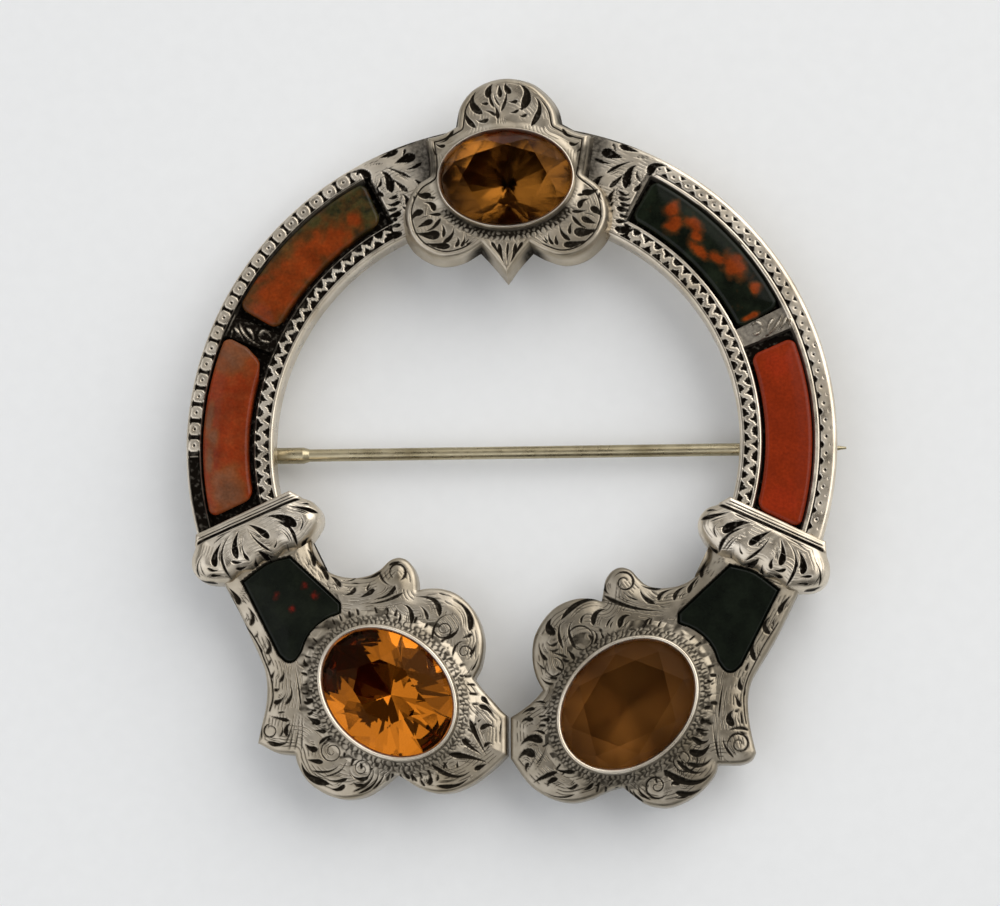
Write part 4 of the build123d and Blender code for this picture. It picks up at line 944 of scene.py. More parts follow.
def boss_relief(edge, seed):
    """A flat face with a rounded edge, a shallow groove that leaves a rim, and small pearls under the bezel."""

    def relief(points):
        from_edge = distance_to(edge, points)
        angle, from_bezel = bezel_side(points, *BOSS_OVAL, 0.3)
        height = BOSS_FACE_Z + 0.04 * unevenness(*points.T, 2.5, seed) - shoulder(from_edge, 0.35)
        height += 0.15 * (1 - ramp(from_bezel, 0.0, 0.8))
        groove = 0.5 * (0.12 - np.abs(from_edge - 0.5)) * ramp(np.abs(points[:, 0]), 2.5, 3.5)
        cuts = hand_cut(np.array(BOSS_CUTS) * [1, 1, 1, 1, 1, 1, 1.3], seed, 0.03)
        depth = np.maximum(groove, engrave(points, cuts))
        below = ramp(-points[:, 1], 1.8, 3.2)
        depth = np.maximum(np.maximum(depth, shading(points, from_edge + 0.2, seed)), 0)
        pearls = below * pearled(points, angle, from_bezel, BOSS_PEARLS, 0.9, seed)
        # Besides the oxide in the pearls, painted shade darkens the metal at the bezel's foot all round and below it
        grime_and_shade = 0.6 * oxide(pearls) + 0.5 * below * (1 - ramp(from_bezel, 0.3, 1.0))
        grime_and_shade += 0.4 * (1 - ramp(from_bezel, 0.0, 0.5))
        # Painted shade darkens the narrow flanks beside the citrine, and the inside of the right lobe is darker
        grime_and_shade += 0.75 * ramp(np.abs(points[:, 0]), 5.8, 6.3) * (1 - ramp(np.abs(points[:, 1] - 1.9), 0.9, 1.6))
        grime_and_shade += 0.3 * below * ramp(points[:, 0], 3.5, 4.5) * ramp(from_edge, 0.6, 0.9)
        return height - np.maximum(depth, pearls), np.maximum(oxide(depth), np.minimum(grime_and_shade, 1))

    return relief


edge = outline(BOSS, BOSS_STEPS)
hole = matched_loop(edge, *BOSS_OVAL, 0.2)
spread = edge / np.linalg.norm(edge, axis=1, keepdims=True)
wall = [(0.06, 6.6), (0.2, 5.8), (0.45, 5.1), (0.55, 4.9), (0.5, BOSS_BACK_Z)]
# Painted shade darkens the wall in the notches between the lobes, most of all at its foot
NOTCHES = [(-6.7, 0.7), (-6.8, 2.3), (6.6, 0.6), (6.8, 2.3), (-4.3, 5.0), (4.4, 5.1), (-2.2, -5.5), (2.0, -5.6)]
in_notch = np.max([1 - ramp(np.hypot(*(edge - notch).T), 0.5, 1.9) for notch in NOTCHES], 0)
boss = plate("trefoil_boss", hole, edge, BOSS_ROWS, boss_relief(edge, 50), wall, in_boss, away=spread,
             painted_wall_shade=np.outer(in_notch, [0.35, 0.85, 0.95, 0.95, 0.95]))

# %% [markdown]
# ## Settings
# Each citrine sits in a bezel: a strip of silver bent round it, soldered down and rubbed over its edge with a
# burnisher. Behind the plate a closed cup guards the stone and holds a foil, an old trick to send more light
# back through a pale stone. This foil is brown, all but one side, which is painted pale as a painted highlight
# that shows through the stone as its flash. The foot of each bezel is painted dark as shade. Bezel, cup and foil
# are each a profile carried round an oval.

# %% Bezels, cups and foils
TERMINAL_PLATE_Z, TERMINAL_RIM_Z, BOSS_RIM_Z = 5.9, 7.0, 8.2
CUP_TAPER, OVAL_STEPS = 0.8, 220
LIP, BOSS_LIP = 0.34, 0.22
# The direction, as x and y, of the side where each foil is painted bright: a painted highlight, the stone's flash
PAINTED_FLASH_SIDE = {"boss_citrine": (-0.45, -0.89), "left_citrine": (0.75, 0.66), "right_citrine": (0.95, -0.3)}


def oval_ring(name, length, width, turn, profile, place, hole=True, **more):
    """A profile of (share of the oval, distance outside it, height) rows, carried round the oval."""
    angles = np.linspace(0, 2 * np.pi, OVAL_STEPS, endpoint=False)
    loops = [ellipse(length * share, width * share, (0, 0), turn, angles, grow) for share, grow, _ in profile]
    P = np.dstack([np.stack(loops, 1), np.broadcast_to([z for _, _, z in profile], (OVAL_STEPS, len(profile)))])
    P[..., :2] = place(P[..., :2])
    return add_solid(name, P, wrap_v=hole, **more)


def setting(name, length, width, turn, plate_z, z, place, lip):
    """The bezel with its burnished lip, whose top is at z, the cup behind the plate, and the foil in the cup."""
    bezel = [(0.45, plate_z - 0.3), (lip + 0.16, plate_z - 0.02), (lip + 0.1, plate_z + 0.08),
             (lip + 0.06, plate_z + 0.3), (lip + 0.02, z - 0.3), (lip, z - 0.12), (lip - 0.06, z - 0.02),
             (lip / 2, z), (0.05, z - 0.06), (-0.03, z - 0.18), (-0.08, z - 0.29), (-0.1, z - 0.36),
             (0.04, z - 0.42), (0.04, z - 1.2), (-0.35, z - 1.35), (-0.35, plate_z - 0.8)]
    bezel = [(1, *row) for row in bezel]
    # The foot of the bezel, where it meets the plate, is painted dark as shade
    grime_and_shade = np.broadcast_to([0.9, 0.9, 0.9, 0.5] + [0.0] * 12, (OVAL_STEPS, len(bezel)))
    oval_ring(f"{name}_bezel", length, width, turn, bezel, place, cut=grime_and_shade)
    back = BACK_Z if plate_z < BOSS_BACK_Z + 1.5 else BOSS_BACK_Z
    top = back + 0.3
    share = CUP_TAPER + (1 - CUP_TAPER) * top / plate_z
    cup = [(CUP_TAPER, -3.9, 0.0), (CUP_TAPER, -0.35, 0.0), (CUP_TAPER, -0.1, 0.08), (CUP_TAPER, 0.0, 0.3),
           (share, 0.0, top), (share, -0.5, top), (CUP_TAPER, -0.55, 0.7), (CUP_TAPER, -0.8, 0.5),
           (CUP_TAPER, -3.7, 0.5)]
    oval_ring(f"{name}_cup", length, width, turn, cup, place, hole=False)
    deep = z - 5.6
    foil = [(0.98, -0.2, z - 1.4), (0.8, -0.2, z - 2.8), (0.4, -0.1, deep + 0.45), (0.004, 0.0, deep + 0.2),
            (0.004, 0.0, deep + 0.15), (0.4, 0.0, deep + 0.35), (0.8, -0.1, z - 2.9), (0.98, -0.1, z - 1.4)]
    angles = np.linspace(0, 2 * np.pi, OVAL_STEPS, endpoint=False)
    # One side of each foil is painted bright, a painted highlight seen through the stone as its flash
    from_middle = place(ellipse(length, width, (0, 0), turn, angles)) - place(np.zeros(2))
    bright = ramp(from_middle @ PAINTED_FLASH_SIDE[name] / (length / 2), 0.3, 0.85)
    bright = np.outer(bright, [1, 1, 0.6, 0, 0, 0, 0, 0])
    return oval_ring(f"{name}_foil", length, width, turn, foil, place, bright=bright)


SETTINGS = [
    ("boss_citrine", *BOSS_OVAL, BOSS_FACE_Z, BOSS_RIM_Z, in_boss),
    ("left_citrine", *ARM_OVAL, TERMINAL_PLATE_Z, TERMINAL_RIM_Z, in_arm(LEFT)),
    ("right_citrine", *ARM_OVAL, TERMINAL_PLATE_Z, TERMINAL_RIM_Z, in_arm(RIGHT)),
]
foils = [setting(*row, lip) for row, lip in zip(SETTINGS, (BOSS_LIP, LIP, LIP))]

# %% [markdown]
# An oval brilliant has a flat table, eight stars, eight kites and sixteen small facets above its edge, and
# longer ones below that meet at the culet. A kite is flat only if its side corners lie on the slope between its
# top and bottom corners, so their height is worked out from that slope.

# %% The citrines
GEM_GROW, GIRDLE, CROWN, PAVILION = -0.01, 0.25, 1.25, 4.3


def brilliant(name, length, width, turn, rim_z, place, table, star, lower=0.24):
    """Corners on circles of the given shares, stretched to the oval. A slope's height at share r and a half step
    aside is rise (1 - r cos 22.5 degrees) / (1 - table share)."""
    full, half = np.radians(45 * np.arange(8)), np.radians(45 * np.arange(8) + 22.5)
    edge_z = rim_z - 0.7
    slope = np.cos(np.radians(22.5))
    around = np.radians(22.5 * np.arange(16))
    star_z = edge_z + GIRDLE + CROWN * (1 - star * slope) / (1 - table)
    lower_z = edge_z - PAVILION * (1 - lower * slope)
    rings = [(full, table, edge_z + GIRDLE + CROWN), (half, star, star_z), (around, 1.0, edge_z + GIRDLE),
             (around, 1.0, edge_z), (half, lower, lower_z), (full[:1], 0.001, edge_z - PAVILION)]
    points = []
    for angles, share, z in rings:
        xy = place(ellipse(length * share, width * share, (0, 0), turn, angles, GEM_GROW * share))
        points.append(np.hstack([xy, np.full((len(xy), 1), z)]))
    T, S, G, H, L, C = np.cumsum([0] + [len(p) for p in points])[:6]
    faces = [tuple(T + n for n in range(8))]
    for n in range(8):
        after, before = (n + 1) % 8, (n - 1) % 8
        a, b, c = 2 * n, 2 * n + 1, (2 * n + 2) % 16
        faces += [(T + n, S + n, T + after), (T + n, S + before, G + a, S + n)]
        faces += [(S + n, G + a, G + b), (S + n, G + b, G + c)]
        faces += [(G + a, H + a, H + b, G + b), (G + b, H + b, H + c, G + c)]
        faces += [(L + n, H + b, H + a), (L + n, H + c, H + b), (C, L + n, H + a, L + before)]
    mesh = bpy.data.meshes.new(name)
    mesh.from_pydata(to_frame(np.vstack(points)), [], faces)
    mesh.validate()
    solid = bmesh.new()
    solid.from_mesh(mesh)
    bmesh.ops.recalc_face_normals(solid, faces=solid.faces)
    solid.to_mesh(mesh)
    solid.free()
    gem = bpy.data.objects.new(f"{name}_brilliant", mesh)
    bpy.context.scene.collection.objects.link(gem)
    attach(gem, "brooch")
    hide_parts(name)
    print(f"{gem.name}: {len(faces)} facets")
    return gem


# The shares of the oval where each stone's table ends and where its stars point
SHAPES = {"boss_citrine": (0.64, 0.84), "left_citrine": (0.5, 0.77), "right_citrine": (0.66, 0.85)}
gems = [brilliant(*row[:4], *row[5:], *SHAPES[row[0]]) for row in SETTINGS]

# %% [markdown]
# ## Inlaid stones
# The lapidary sawed thin slabs, ground them to the cells, rounded their edges and polished them flat. The
# ring's slabs follow its curve. A slab is a grid along and across it, whose height falls as a quarter circle
# near every edge. The lower slabs end on the slope of the capital's collar.

# %% Stones of the ring
STONE_BACK, STONE_TOP = (corner.z * 1000 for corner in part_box("upper_left_stone"))
NECK_STONE_BACK, NECK_STONE_TOP = (corner.z * 1000 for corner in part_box("left_neck_stone"))
print("stones from and to, mm:", np.round([STONE_BACK, STONE_TOP, NECK_STONE_BACK, NECK_STONE_TOP], 2))
MM_PER_DEGREE = 0.42


def edge_steps(count, sharpness=3.0):
    """Steps from 0 to 1 that crowd towards both ends, so the rounded edges get enough points."""
    t = np.linspace(-1, 1, count)
    return 0.5 + 0.5 * np.tanh(sharpness * t) / np.tanh(sharpness)


def ring_stone(side, name, first, last, spots):
    """Angle from first to last along, radius across, about the inlay's middle. Each corner is rounded: within
    0.8 mm of a long edge the end draws back as a quarter circle does. Height: top, less a quarter circle near
    each edge. Each spot is an angle in degrees, then a radius, a half length and a half width in mm. It gives
    the attribute "patch", which is one inside the spots and nought well outside."""
    radius = STONE_OUTER - STONE_WIDTH * edge_steps(44, 2.4)
    share = edge_steps(150, 2.2)[:, None]
    corner = shoulder(np.minimum(STONE_OUTER - radius, radius - STONE_OUTER + STONE_WIDTH), 0.8)
    corner = np.degrees(corner / radius)
    start, end = first(radius) - corner, last(radius) + corner
    angle = start * (1 - share) + end * share
    R = np.broadcast_to(radius, angle.shape)
    gap = np.minimum(STONE_OUTER - R, R - STONE_OUTER + STONE_WIDTH)
    gap = np.minimum(gap, R * np.radians(np.minimum(np.abs(angle - start), np.abs(angle - end))))
    top = STONE_TOP + 0.06 - shoulder(gap, 0.35) - 0.08 * (1 - ramp(gap, 0, 1.6))
    a = np.radians(angle)
    top_face = np.dstack([side * R * np.cos(a) + INLAY_SHIFT, R * np.sin(a), top])
    foot = top_face[:, [-1, 0]].copy()
    foot[..., 2] = STONE_BACK
    patch = np.full(angle.shape, -0.2)
    for at, across, long, wide in spots:
        off = np.hypot((angle - at) * MM_PER_DEGREE / long, (R - across) / wide)
        off += 0.35 * unevenness(top_face[..., 0], top_face[..., 1], 1.3, int(at + across) % 97)
        patch = np.maximum(patch, 1 - ramp(off, 0.3, 1.5))
    patch = np.hstack([patch, patch[:, [-1, 0]]])
    P = np.concatenate([top_face, foot], 1)
    return add_solid(f"{name}_slab", P, wrap_u=False, stands_for=name, patch=patch)


# How far above the collar's line the lower stones end
ABOVE_COLLAR = {LEFT: 0.75, RIGHT: 0.3}


def collar_end(side):
    """The angle where the collar's line crosses a circle: r sin(angle + turn) is the same all along the line."""
    at, turn = np.radians(COLLAR_ANGLE), np.radians(COLLAR_TURN[side])
    along = ABOVE_COLLAR[side] + BAND_MIDDLE * np.cos(at) * np.sin(turn)
    along -= (BAND_MIDDLE * np.sin(at) + DROP[side]) * np.cos(turn)
    return lambda radius: np.degrees(np.arcsin(along / radius) - turn)


STONE_ENDS = {
    # radii, then the angle of the upper end and of the lower end at each of them
    "upper_left_stone": ([22.4, 26.4], [61.1, 62.0], [27.1, 27.6]),
    "upper_right_stone": ([22.4, 26.4], [60.6, 60.4], [25.2, 25.9]),
    "lower_left_stone": ([22.4, 22.7, 24.2, 26.6], [17.3, 19.1, 21.0, 21.7], None),
    "lower_right_stone": ([22.4, 26.4], [18.7, 19.4], None),
}
STONE_SPOTS = {
    "upper_left_stone": [(34, 24.0, 4.4, 2.3), (43, 23.9, 3.8, 1.9), (49.5, 23.5, 2.6, 1.4), (56, 23.9, 0.9, 0.8)],
    "upper_right_stone": [(54, 24.9, 0.8, 0.8), (52, 23.9, 0.8, 0.9), (48.6, 25.0, 1.0, 0.6), (44.6, 23.6, 1.2, 0.5),
                          (46.8, 24.3, 0.6, 0.5), (40.6, 24.2, 0.8, 0.5), (37, 25.0, 1.4, 1.0), (31, 25.3, 0.6, 0.6),
                          (26.4, 23.8, 0.3, 0.8)],
    "lower_left_stone": [(19, 25.0, 1.9, 1.8), (5, 25.9, 1.6, 0.35), (1.5, 25.5, 0.8, 0.5), (-3, 25.8, 1.2, 0.35),
                         (-9.5, 24.4, 2.2, 1.5)],
    "lower_right_stone": [(-13, 24.3, 1.6, 1.8), (15, 24.4, 1.4, 1.5)],
}


def end_line(radii, angles):
    """The angle of a stone's end at each radius, by straight lines between the given ones."""
    return lambda radius: np.interp(radius, radii, angles)


stones = {}
for name, (radii, upper_end, lower_end) in STONE_ENDS.items():
    side = RIGHT if "right" in name else LEFT
    last = collar_end(side) if lower_end is None else end_line(radii, lower_end)
    stones[name] = ring_stone(side, name, end_line(radii, upper_end), last, STONE_SPOTS[name])

# %% [markdown]
# The neck stones taper and have a hollow foot that fits the bezel. They are made as the metal plates are, from
# a sliver in the middle to the outline, with a low dome. What is darkness on the metal marks red flecks here.

# %% Stones of the necks
NECK_TURN, NECK_ROWS = 62, 30
NECK_FLECKS = (6.5, 8.55), (9.9, 8.55), (8.5, 7.4), (7.4, 9.3)


def neck_relief(points):
    """The height and flecks of a neck stone: a low dome with a rounded edge, and a soft spot at each fleck."""
    gap = distance_to(STONE_PATH, points)
    fleck = [1 - ramp(np.hypot(*(points - spot).T), 0.0, 0.95) for spot in NECK_FLECKS]
    return NECK_STONE_TOP + 0.02 * ramp(gap, 0.2, 2.0) - shoulder(gap, 0.25), np.max(fleck, 0) * 0.6


away = STONE_PATH - [8.6, 7.3]
angles = np.unwrap(np.arctan2(away[:, 1], away[:, 0])) - np.radians(NECK_TURN)
spine = ellipse(4.2, 0.04, (8.6, 7.4), NECK_TURN, angles)
wall = [(0.0, NECK_STONE_TOP - 0.6), (0.0, NECK_STONE_BACK)]
for side, side_name in SIDES:
    node = f"{side_name}_neck_stone"
    stones[node] = plate(f"{node}_slab", spine, STONE_PATH, NECK_ROWS, neck_relief, wall, in_arm(side), hole=False,
                         stands_for=node)

# %% [markdown]
# ## Hinge and catch
# Behind the ring's left side two lugs hold the pin's rivet, and behind its right side a hook holds the pin. A
# lug is a rounded plate with eased edges. The hook is a flat strip carried round the pin, open downwards.

# %% Hinge lugs, rivet heads and catch
PIN_Y, PIN_Z = -0.4, 1.4
LUG_R, LUG_WALL, LUG_NEAR = 1.25, 0.75, 0.93
turn = np.linspace(np.pi, 2 * np.pi, 40)
lug = [(-BAND_MIDDLE + LUG_R * c, PIN_Z + LUG_R * s) for c, s in zip(np.cos(turn), np.sin(turn))]
lug += [(-BAND_MIDDLE + LUG_R, BACK_Z + 0.35), (-BAND_MIDDLE - LUG_R, BACK_Z + 0.35)]
lug = even_steps(np.array(lug), 96)
lug_middle = np.array([-BAND_MIDDLE, PIN_Z + 0.3])
# The near lug stands below the pin's line in the photograph, and the far one above it
for side, side_name in ((LEFT, "near"), (RIGHT, "far")):
    rows = [(0.2, 0.0), (0.9, 0.0), (1.0, 0.1), (1.0, LUG_WALL - 0.1), (0.9, LUG_WALL), (0.2, LUG_WALL)]
    loops = [lug_middle + (lug - lug_middle) * share for share, _ in rows]
    y = [np.full(len(lug), PIN_Y + side * (LUG_NEAR + depth)) for _, depth in rows]
    P = np.stack([np.stack([xz[:, 0], at, xz[:, 1]], 1) for xz, at in zip(loops, y)], 1)
    add_solid(f"{side_name}_hinge_lug", P, wrap_v=False)
    turn = np.linspace(0, 2 * np.pi, 40, endpoint=False)
    head = [(0.42, -0.2), (0.62, 0.0), (0.6, 0.1), (0.45, 0.2), (0.2, 0.26), (0.02, 0.27)]
    P = [[(-BAND_MIDDLE + r * c, PIN_Y + side * (LUG_NEAR + LUG_WALL + out), PIN_Z + r * s) for r, out in head]
         for c, s in zip(np.cos(turn), np.sin(turn))]
    add_solid(f"{side_name}_rivet_head", np.array(P), wrap_v=False)

CATCH_X, CATCH_R, CATCH_HALF, CATCH_THICK = 24.3, 1.075, 1.2, 0.275
# The strip bends round the pin between these angles, and its mouth is the gap between them
CATCH_BEND = (-54, 234)


def squared(wave, power):
    """A sine or cosine raised to a power below one, with its sign kept: it turns an oval into a rounded box."""
    return np.sign(wave) * np.abs(wave) ** power


bend = np.radians(np.linspace(*CATCH_BEND, 70))
section = np.radians(np.linspace(0, 360, 32, endpoint=False))
across = CATCH_X + CATCH_HALF * squared(np.cos(section), 0.3)
radius = CATCH_R + CATCH_THICK * squared(np.sin(section), 0.5)[None, :]
P = np.stack([np.broadcast_to(across, (len(bend), len(section))), PIN_Y + radius * np.cos(bend)[:, None],
              PIN_Z + radius * np.sin(bend)[:, None]], -1)
add_solid("pin_catch", P, wrap_u=False)
stem_y = 0.55 * squared(np.sin(section), 0.4)
P = np.stack([np.stack([across, PIN_Y + stem_y * grow, np.full(len(section), z)], 1)
              for z, grow in ((2.35, 1.0), (2.6, 1.0), (2.72, 1.5), (2.9, 1.5))])
add_solid("catch_stem", P, wrap_u=False)

# %% [markdown]
# ## Materials
# One helper adds a shader node with its settings and links. Three more name what these finishes do again and
# again: a soft noise, a range stretched to another, and two colours blended. Patterns are set out from real
# sizes in millimetres: one whose features are so many millimetres apart has a scale of 1000 over that, because
# the frame is in metres.

# %% Helpers for materials
def colour(code):
    """An sRGB hex code as the linear values that Blender works with."""
    value = np.array([int(code[n : n + 2], 16) for n in (1, 3, 5)]) / 255
    linear = np.where(value <= 0.04045, value / 12.92, ((value + 0.055) / 1.055) ** 2.4)
    return (*linear.tolist(), 1.0)


def per_mm(size):
    """The scale of a pattern whose features are that many millimetres apart."""
    return 1000 / size


def add(tree, kind, sockets=None, **settings):
    """A node with its settings. A socket's value is a number, a colour, or another node's output to link."""
    node = tree.nodes.new("ShaderNode" + kind)
    for key, value in settings.items():
        setattr(node, key, value)
    for key, value in (sockets or {}).items():
        if isinstance(value, bpy.types.NodeSocket):
            tree.links.new(value, node.inputs[key])
        else:
            node.inputs[key].default_value = value
    return node


def noise(tree, at, size, detail, roughness=0.5):
    """The value of a soft noise whose features are size mm apart."""
    sockets = {"Vector": at, "Scale": per_mm(size), "Detail": detail, "Roughness": roughness}
    return add(tree, "TexNoise", sockets).outputs["Fac"]


def stretch(tree, value, low, high, least=0.0, most=1.0, curve="LINEAR"):
    """A value's range from low to high stretched to least and most, and held there beyond both ends."""
    sockets = {"Value": value, 1: low, 2: high, 3: least, 4: most}
    return add(tree, "MapRange", sockets, interpolation_type=curve).outputs[0]


def blend(tree, share, first, second, how="MIX"):
    """first (1 - share) + second share, of two colours, each a hex code or another node's output."""
    first, second = (colour(tone) if isinstance(tone, str) else tone for tone in (first, second))
    return add(tree, "Mix", {0: share, 6: first, 7: second}, data_type="RGBA", blend_type=how).outputs[2]


def attribute(tree, name):
    """The value of one of the mesh's own attributes, such as the darkness of its cuts and of its painted shade."""
    return add(tree, "Attribute", attribute_name=name).outputs["Fac"]


def new_material(name, **sockets):
    """A Principled material with values set on its own sockets, and its tree, shader and Object coordinates."""
    material = bpy.data.materials.new(name)
    material.use_nodes = True
    tree = material.node_tree
    shader = tree.nodes["Principled BSDF"]
    for key, value in sockets.items():
        shader.inputs[key.replace("_", " ")].default_value = value
    return material, tree, shader, add(tree, "TexCoord").outputs["Object"]


def finish_with(pieces, material):
    """Give each piece the material in all its slots."""
    for piece in pieces:
        piece.data.materials.clear()
        piece.data.materials.append(material)


# %% [markdown]
# Sterling silver, engraved, oxidised and polished. Liver of sulphur blackens it all, and the polishing cloth
# takes the black off everything that stands up. So the colour runs from warm grey-white to near black by the
# depth of the cut, and old polish leaves a faint grey bloom. It tells the eye how deep the engraving is. The
# same darkness also holds painted shade: at the foot of the bezels, round the stones, in the boss's notches and
# beside the boss. There are four such silvers: the cleanest for the ring, capitals and bezels, a darker copy
# that paints shade on the boss and the left terminal, a still darker copy that paints deeper shade on the right
# terminal, and a worn yellowish one for the pin's wire.

# %% Silver
DENT_DEPTH = 0.00006


def silver(name, bright, tarnished, black, rough):
    """Bright to tarnished by soft clouds, then to black by the piece's own darkness attribute, which holds the
    oxide in the cuts and painted shade, times a fine noise of dirt. Roughness: rough, a little more or less by
    wear, plus 0.35 of the darkness. Faint dents as bump."""
    material, tree, shader, at = new_material(name, Metallic=1.0)
    clouds = stretch(tree, noise(tree, at, 3.5, 5.0, 0.6), 0.36, 0.8)
    tone = blend(tree, clouds, bright, tarnished)
    grime_and_shade = stretch(tree, noise(tree, at, 0.35, 3.0), 0.3, 0.7, 0.9, 1.15)
    dark = add(tree, "Math", {0: attribute(tree, "cut"), 1: grime_and_shade}, operation="MULTIPLY", use_clamp=True).outputs[0]
    tree.links.new(blend(tree, dark, tone, black), shader.inputs["Base Color"])
    wear = stretch(tree, noise(tree, at, 1.1, 6.0), 0.3, 0.7, rough - 0.07, rough + 0.1)
    matt = add(tree, "Math", {0: dark, 1: 0.35, 2: wear}, operation="MULTIPLY_ADD")
    tree.links.new(matt.outputs[0], shader.inputs["Roughness"])
    bump = add(tree, "Bump", {"Strength": 0.25, "Distance": DENT_DEPTH, "Height": noise(tree, at, 0.8, 4.0)})
    tree.links.new(bump.outputs["Normal"], shader.inputs["Normal"])
    return material


engraved_silver = silver("silver_engraved_oxidised", "#E9DFCE", "#B8AB95", "#16120E", 0.3)
shade_painted_silver = silver("silver_painted_shade", "#C2B8A7", "#968A74", "#28231C", 0.33)
deep_shade_painted_silver = silver("silver_painted_deep_shade", "#A79E8E", "#766B57", "#25211B", 0.34)
worn_silver = silver("silver_pin_wire_worn", "#BFB496", "#887C5E", "#2A231B", 0.28)

# %% [markdown]
# Agate, jasper and bloodstone are all quartz, so they take one glassy polish over colours that lie a little
# under the surface. The patterns follow each stone in the photograph: dark green that gives way to orange brown,
# orange patches on green, a pale haze on red, or a few red flecks.

# %% Stones
QUARTZ_IOR, CITRINE_IOR = 1.54, 1.55


def polished_stone(name, base, second, between, patch, edge, haze, mottle, mask="patch"):
    """Base to second by clouds. Where the stone's own patch attribute, roughened by a finer noise, passes its
    middle value, the colour goes through the one between to the patch's, softly by edge, as fully as haze says.
    Darker mottling and a fine grain lie over all of it."""
    material, tree, shader, at = new_material(name, Roughness=0.2, IOR=QUARTZ_IOR, Specular_IOR_Level=0.14)
    clouds = stretch(tree, noise(tree, at, 2.6, 7.0, 0.6), 0.4, 0.62, curve="SMOOTHSTEP")
    tone = blend(tree, clouds, base, second)
    rough = noise(tree, at, 0.9, 6.0, 0.65)
    where = add(tree, "Math", {0: rough, 1: 1.0, 2: attribute(tree, mask)}, operation="MULTIPLY_ADD").outputs[0]
    for code, start, end, most in ((between, 1 - edge, 1.0, 1.0), (patch, 1.0, 1 + edge, haze)):
        tone = blend(tree, stretch(tree, where, start, end, most=most), tone, code)
    for size, least in ((1.7, mottle), (0.25, 0.85)):
        grain = stretch(tree, noise(tree, at, size, 4.0), 0.32, 0.68, least, 2.0 - least)
        tone = blend(tree, 1.0, tone, grain, how="MULTIPLY")
    tree.links.new(tone, shader.inputs["Base Color"])
    return material


STONE_LOOKS = {
    # name, base, second, between, patch, edge, haze, mottle, mask
    "upper_left_stone": ("bloodstone_to_jasper", "#161B10", "#403A1E", "#563214", "#7C320F", 0.55, 1.0, 0.7),
    "lower_left_stone": ("hazed_jasper", "#802F11", "#762A0F", "#753D1E", "#6C4833", 0.6, 0.85, 0.8),
    "upper_right_stone": ("bloodstone_patched", "#0A0F08", "#161C12", "#3E2610", "#78310C", 0.4, 1.0, 0.7),
    "lower_right_stone": ("brick_red_jasper", "#7C280E", "#80290D", "#842A0E", "#8A2A10", 0.4, 0.9, 0.9),
    "left_neck_stone": ("bloodstone_dark", "#0E120C", "#161A12", "#2C140D", "#64180F", 0.16, 0.9, 0.85, "cut"),
    "right_neck_stone": ("bloodstone_darker", "#0D110C", "#141912", "#0D110C", "#0D110C", 0.3, 1.0, 0.85, "cut"),
}

# %% [markdown]
# Citrine is clear yellow to brown quartz. Light comes in through the table, is thrown back by the lower
# facets and the foil, and leaves through the crown, coloured on its way. A clear shader with quartz's IOR does
# the same, and its tint works once on the way in and once on the way out. The foil's brown and its pale side,
# a painted highlight that shows as the stone's flash, follow its own "bright" attribute, with soft blotches.

# %% Citrines and foil
# Each stone's tint, and how hazy it is
CITRINE_LOOKS = {"boss_citrine": ("#84511A", 0.14), "left_citrine": ("#BC6A1A", 0.03),
                 "right_citrine": ("#7E5022", 0.4)}


def citrine(name, tint, haze):
    """Clear quartz of one tint: all its light passes, more or less sharply."""
    return new_material(name, Base_Color=colour(tint), Roughness=haze, IOR=CITRINE_IOR, Transmission_Weight=1.0,
                        Specular_Tint=colour("#8A5C2C"))[0]


foil_look, tree, shader, at = new_material("foil_brown_with_painted_flash", Metallic=1.0, Roughness=0.45)
# Brown foil, pale gold where the "bright" attribute is high: the painted highlight of the stone's flash
share = add(tree, "Math", {0: noise(tree, at, 1.8, 3.0), 1: attribute(tree, "bright")}, operation="ADD").outputs[0]
tone = blend(tree, stretch(tree, share, 0.55, 1.15), "#553618", "#FFE9B4")
tree.links.new(tone, shader.inputs["Base Color"])

# %% [markdown]
# Every new piece first gets the engraved silver. Then the terminals, the boss, the stones, the foils and the pin
# get their own.

# %% Put the finishes on
brooch_pieces = [piece for piece in bpy.data.objects if piece.type == "MESH" and not piece.data.materials]
finish_with(brooch_pieces, engraved_silver)
# The boss and the left terminal take a darker copy of the silver as painted shade, the right terminal a darker one
finish_with([arms[LEFT], boss], shade_painted_silver)
finish_with([arms[RIGHT]], deep_shade_painted_silver)
for node, piece in stones.items():
    finish_with([piece], polished_stone(*STONE_LOOKS[node]))
for piece, (node, *_) in zip(gems, SETTINGS):
    finish_with([piece], citrine(f"citrine_{node.split('_')[0]}", *CITRINE_LOOKS[node]))
finish_with(foils, foil_look)
finish_with([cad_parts["pin"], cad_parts["hinge_rivet"]], worn_silver)

# %% [markdown]
# ## Floor, light and camera
# The photograph was taken from almost straight above on pale card. So there is a pale floor, a wide soft light
# from the upper right, a fainter one that stands for a white card at the lower left, and a dim sky. Polished
# silver shows mostly what it mirrors, so the sky is brighter towards the window and dark straight overhead,
# where the camera and the room's ceiling were.

# %% Floor and light
bpy.ops.mesh.primitive_plane_add(size=2.0, location=(0, 0, -0.0003))
floor = bpy.context.object
floor.name = "pale_card"
card, tree, shader, at = new_material("card_pale_matt", Roughness=0.8)
tone = blend(tree, noise(tree, at, 1.5, 4.0), "#E8EAEB", "#EDEFF0")
tree.links.new(tone, shader.inputs["Base Color"])
finish_with([floor], card)

SKY_STRENGTH = 0.96
world = bpy.data.worlds.new("studio")
bpy.context.scene.world = world
world.use_nodes = True
tree = world.node_tree
at = add(tree, "TexCoord").outputs["Generated"]
sky = "#4C4A47"
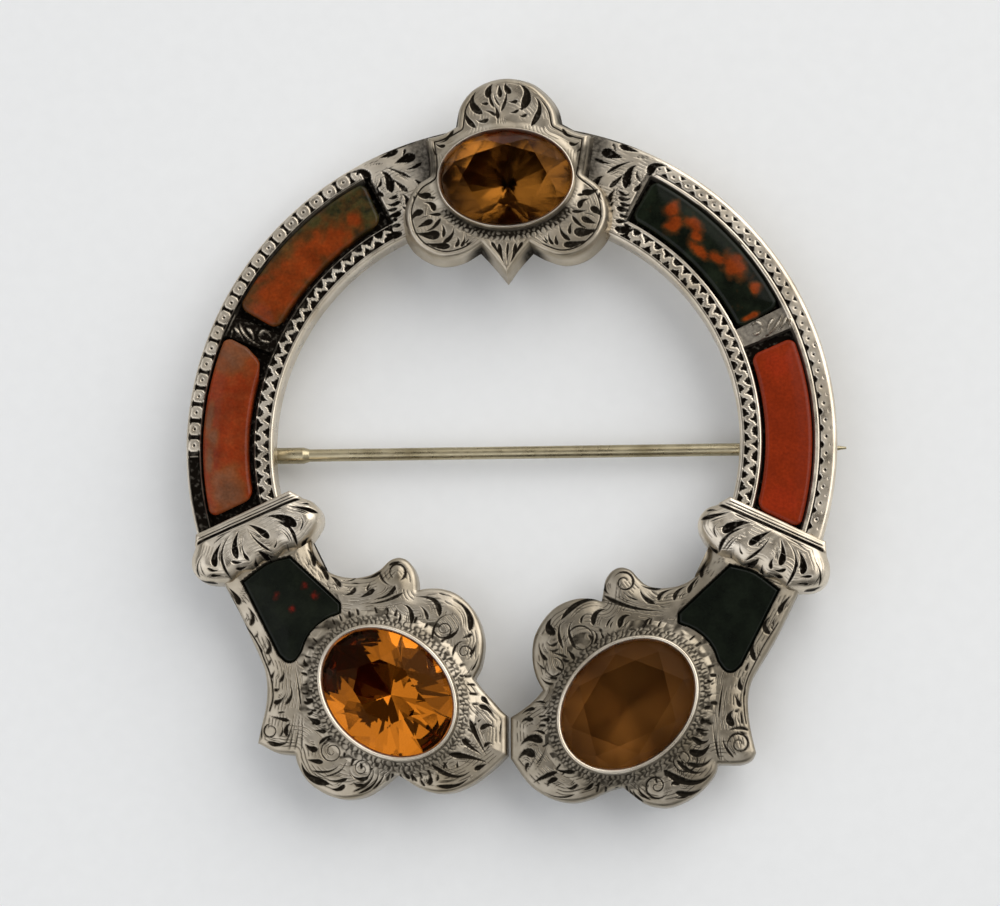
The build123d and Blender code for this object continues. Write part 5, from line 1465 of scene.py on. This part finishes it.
# Towards the window and then straight above, the sky takes on a colour between two cosines of the angle from it
SKY_PATCHES = [((0.5, 0.55, 0.67), -0.3, 0.9, "#E8E8E8"), ((-0.05, 0.1, 0.99), 0.8, 0.94, "#4E4A46")]
for direction, start, end, code in SKY_PATCHES:
    towards = add(tree, "VectorMath", {0: at, 1: direction}, operation="DOT_PRODUCT").outputs["Value"]
    sky = blend(tree, stretch(tree, towards, start, end, curve="SMOOTHSTEP"), sky, code)
tree.links.new(sky, tree.nodes["Background"].inputs["Color"])
tree.nodes["Background"].inputs["Strength"].default_value = SKY_STRENGTH
bpy.context.scene.view_settings.view_transform = "Standard"


def lamp(name, place, size, watts, tint):
    """A square area light at place, turned to face the brooch at the origin, all in metres."""
    data = bpy.data.lights.new(name, "AREA")
    data.size, data.energy, data.color = size, watts, colour(tint)[:3]
    light = bpy.data.objects.new(name, data)
    light.location = place
    light.rotation_euler = (-Vector(place)).to_track_quat("-Z", "Y").to_euler()
    bpy.context.scene.collection.objects.link(light)


lamp("window", (0.35, 0.28, 0.42), 0.68, 2.55, "#FFFBF6")
lamp("bounce_card", (-0.34, -0.2, 0.4), 0.8, 1.95, "#F8FAFF")

# %% [markdown]
# The camera leans a few degrees to the right of straight above and a little more towards the terminals, as the
# walls that the photograph shows tell. A long lens from a hand's breadth away gives the same near-parallel view.

# %% Camera
CAMERA_EAST, CAMERA_SOUTH, CAMERA_AWAY = 5.0, 9.5, 0.255
CAMERA_LENS, CAMERA_SENSOR, CAMERA_NEAR = 106.5, 36.0, 0.01
aim = Vector(to_frame([-0.73, -1.05, 5.2]))
away = Vector((np.tan(np.radians(CAMERA_EAST)), -np.tan(np.radians(CAMERA_SOUTH)), 1.0)).normalized()
right = Vector((0, 1, 0)).cross(away).normalized()
up = away.cross(right)
camera_data = bpy.data.cameras.new("camera")
camera_data.lens, camera_data.sensor_width, camera_data.clip_start = CAMERA_LENS, CAMERA_SENSOR, CAMERA_NEAR
camera = bpy.data.objects.new("camera", camera_data)
camera.matrix_world = Matrix.Translation(aim + away * CAMERA_AWAY) @ Matrix((right, up, away)).transposed().to_4x4()
bpy.context.scene.collection.objects.link(camera)
bpy.context.scene.camera = camera

# %% [markdown]
# The view layer is brought up to date, and that closes the lesson.

# %% The end
bpy.context.view_layer.update()
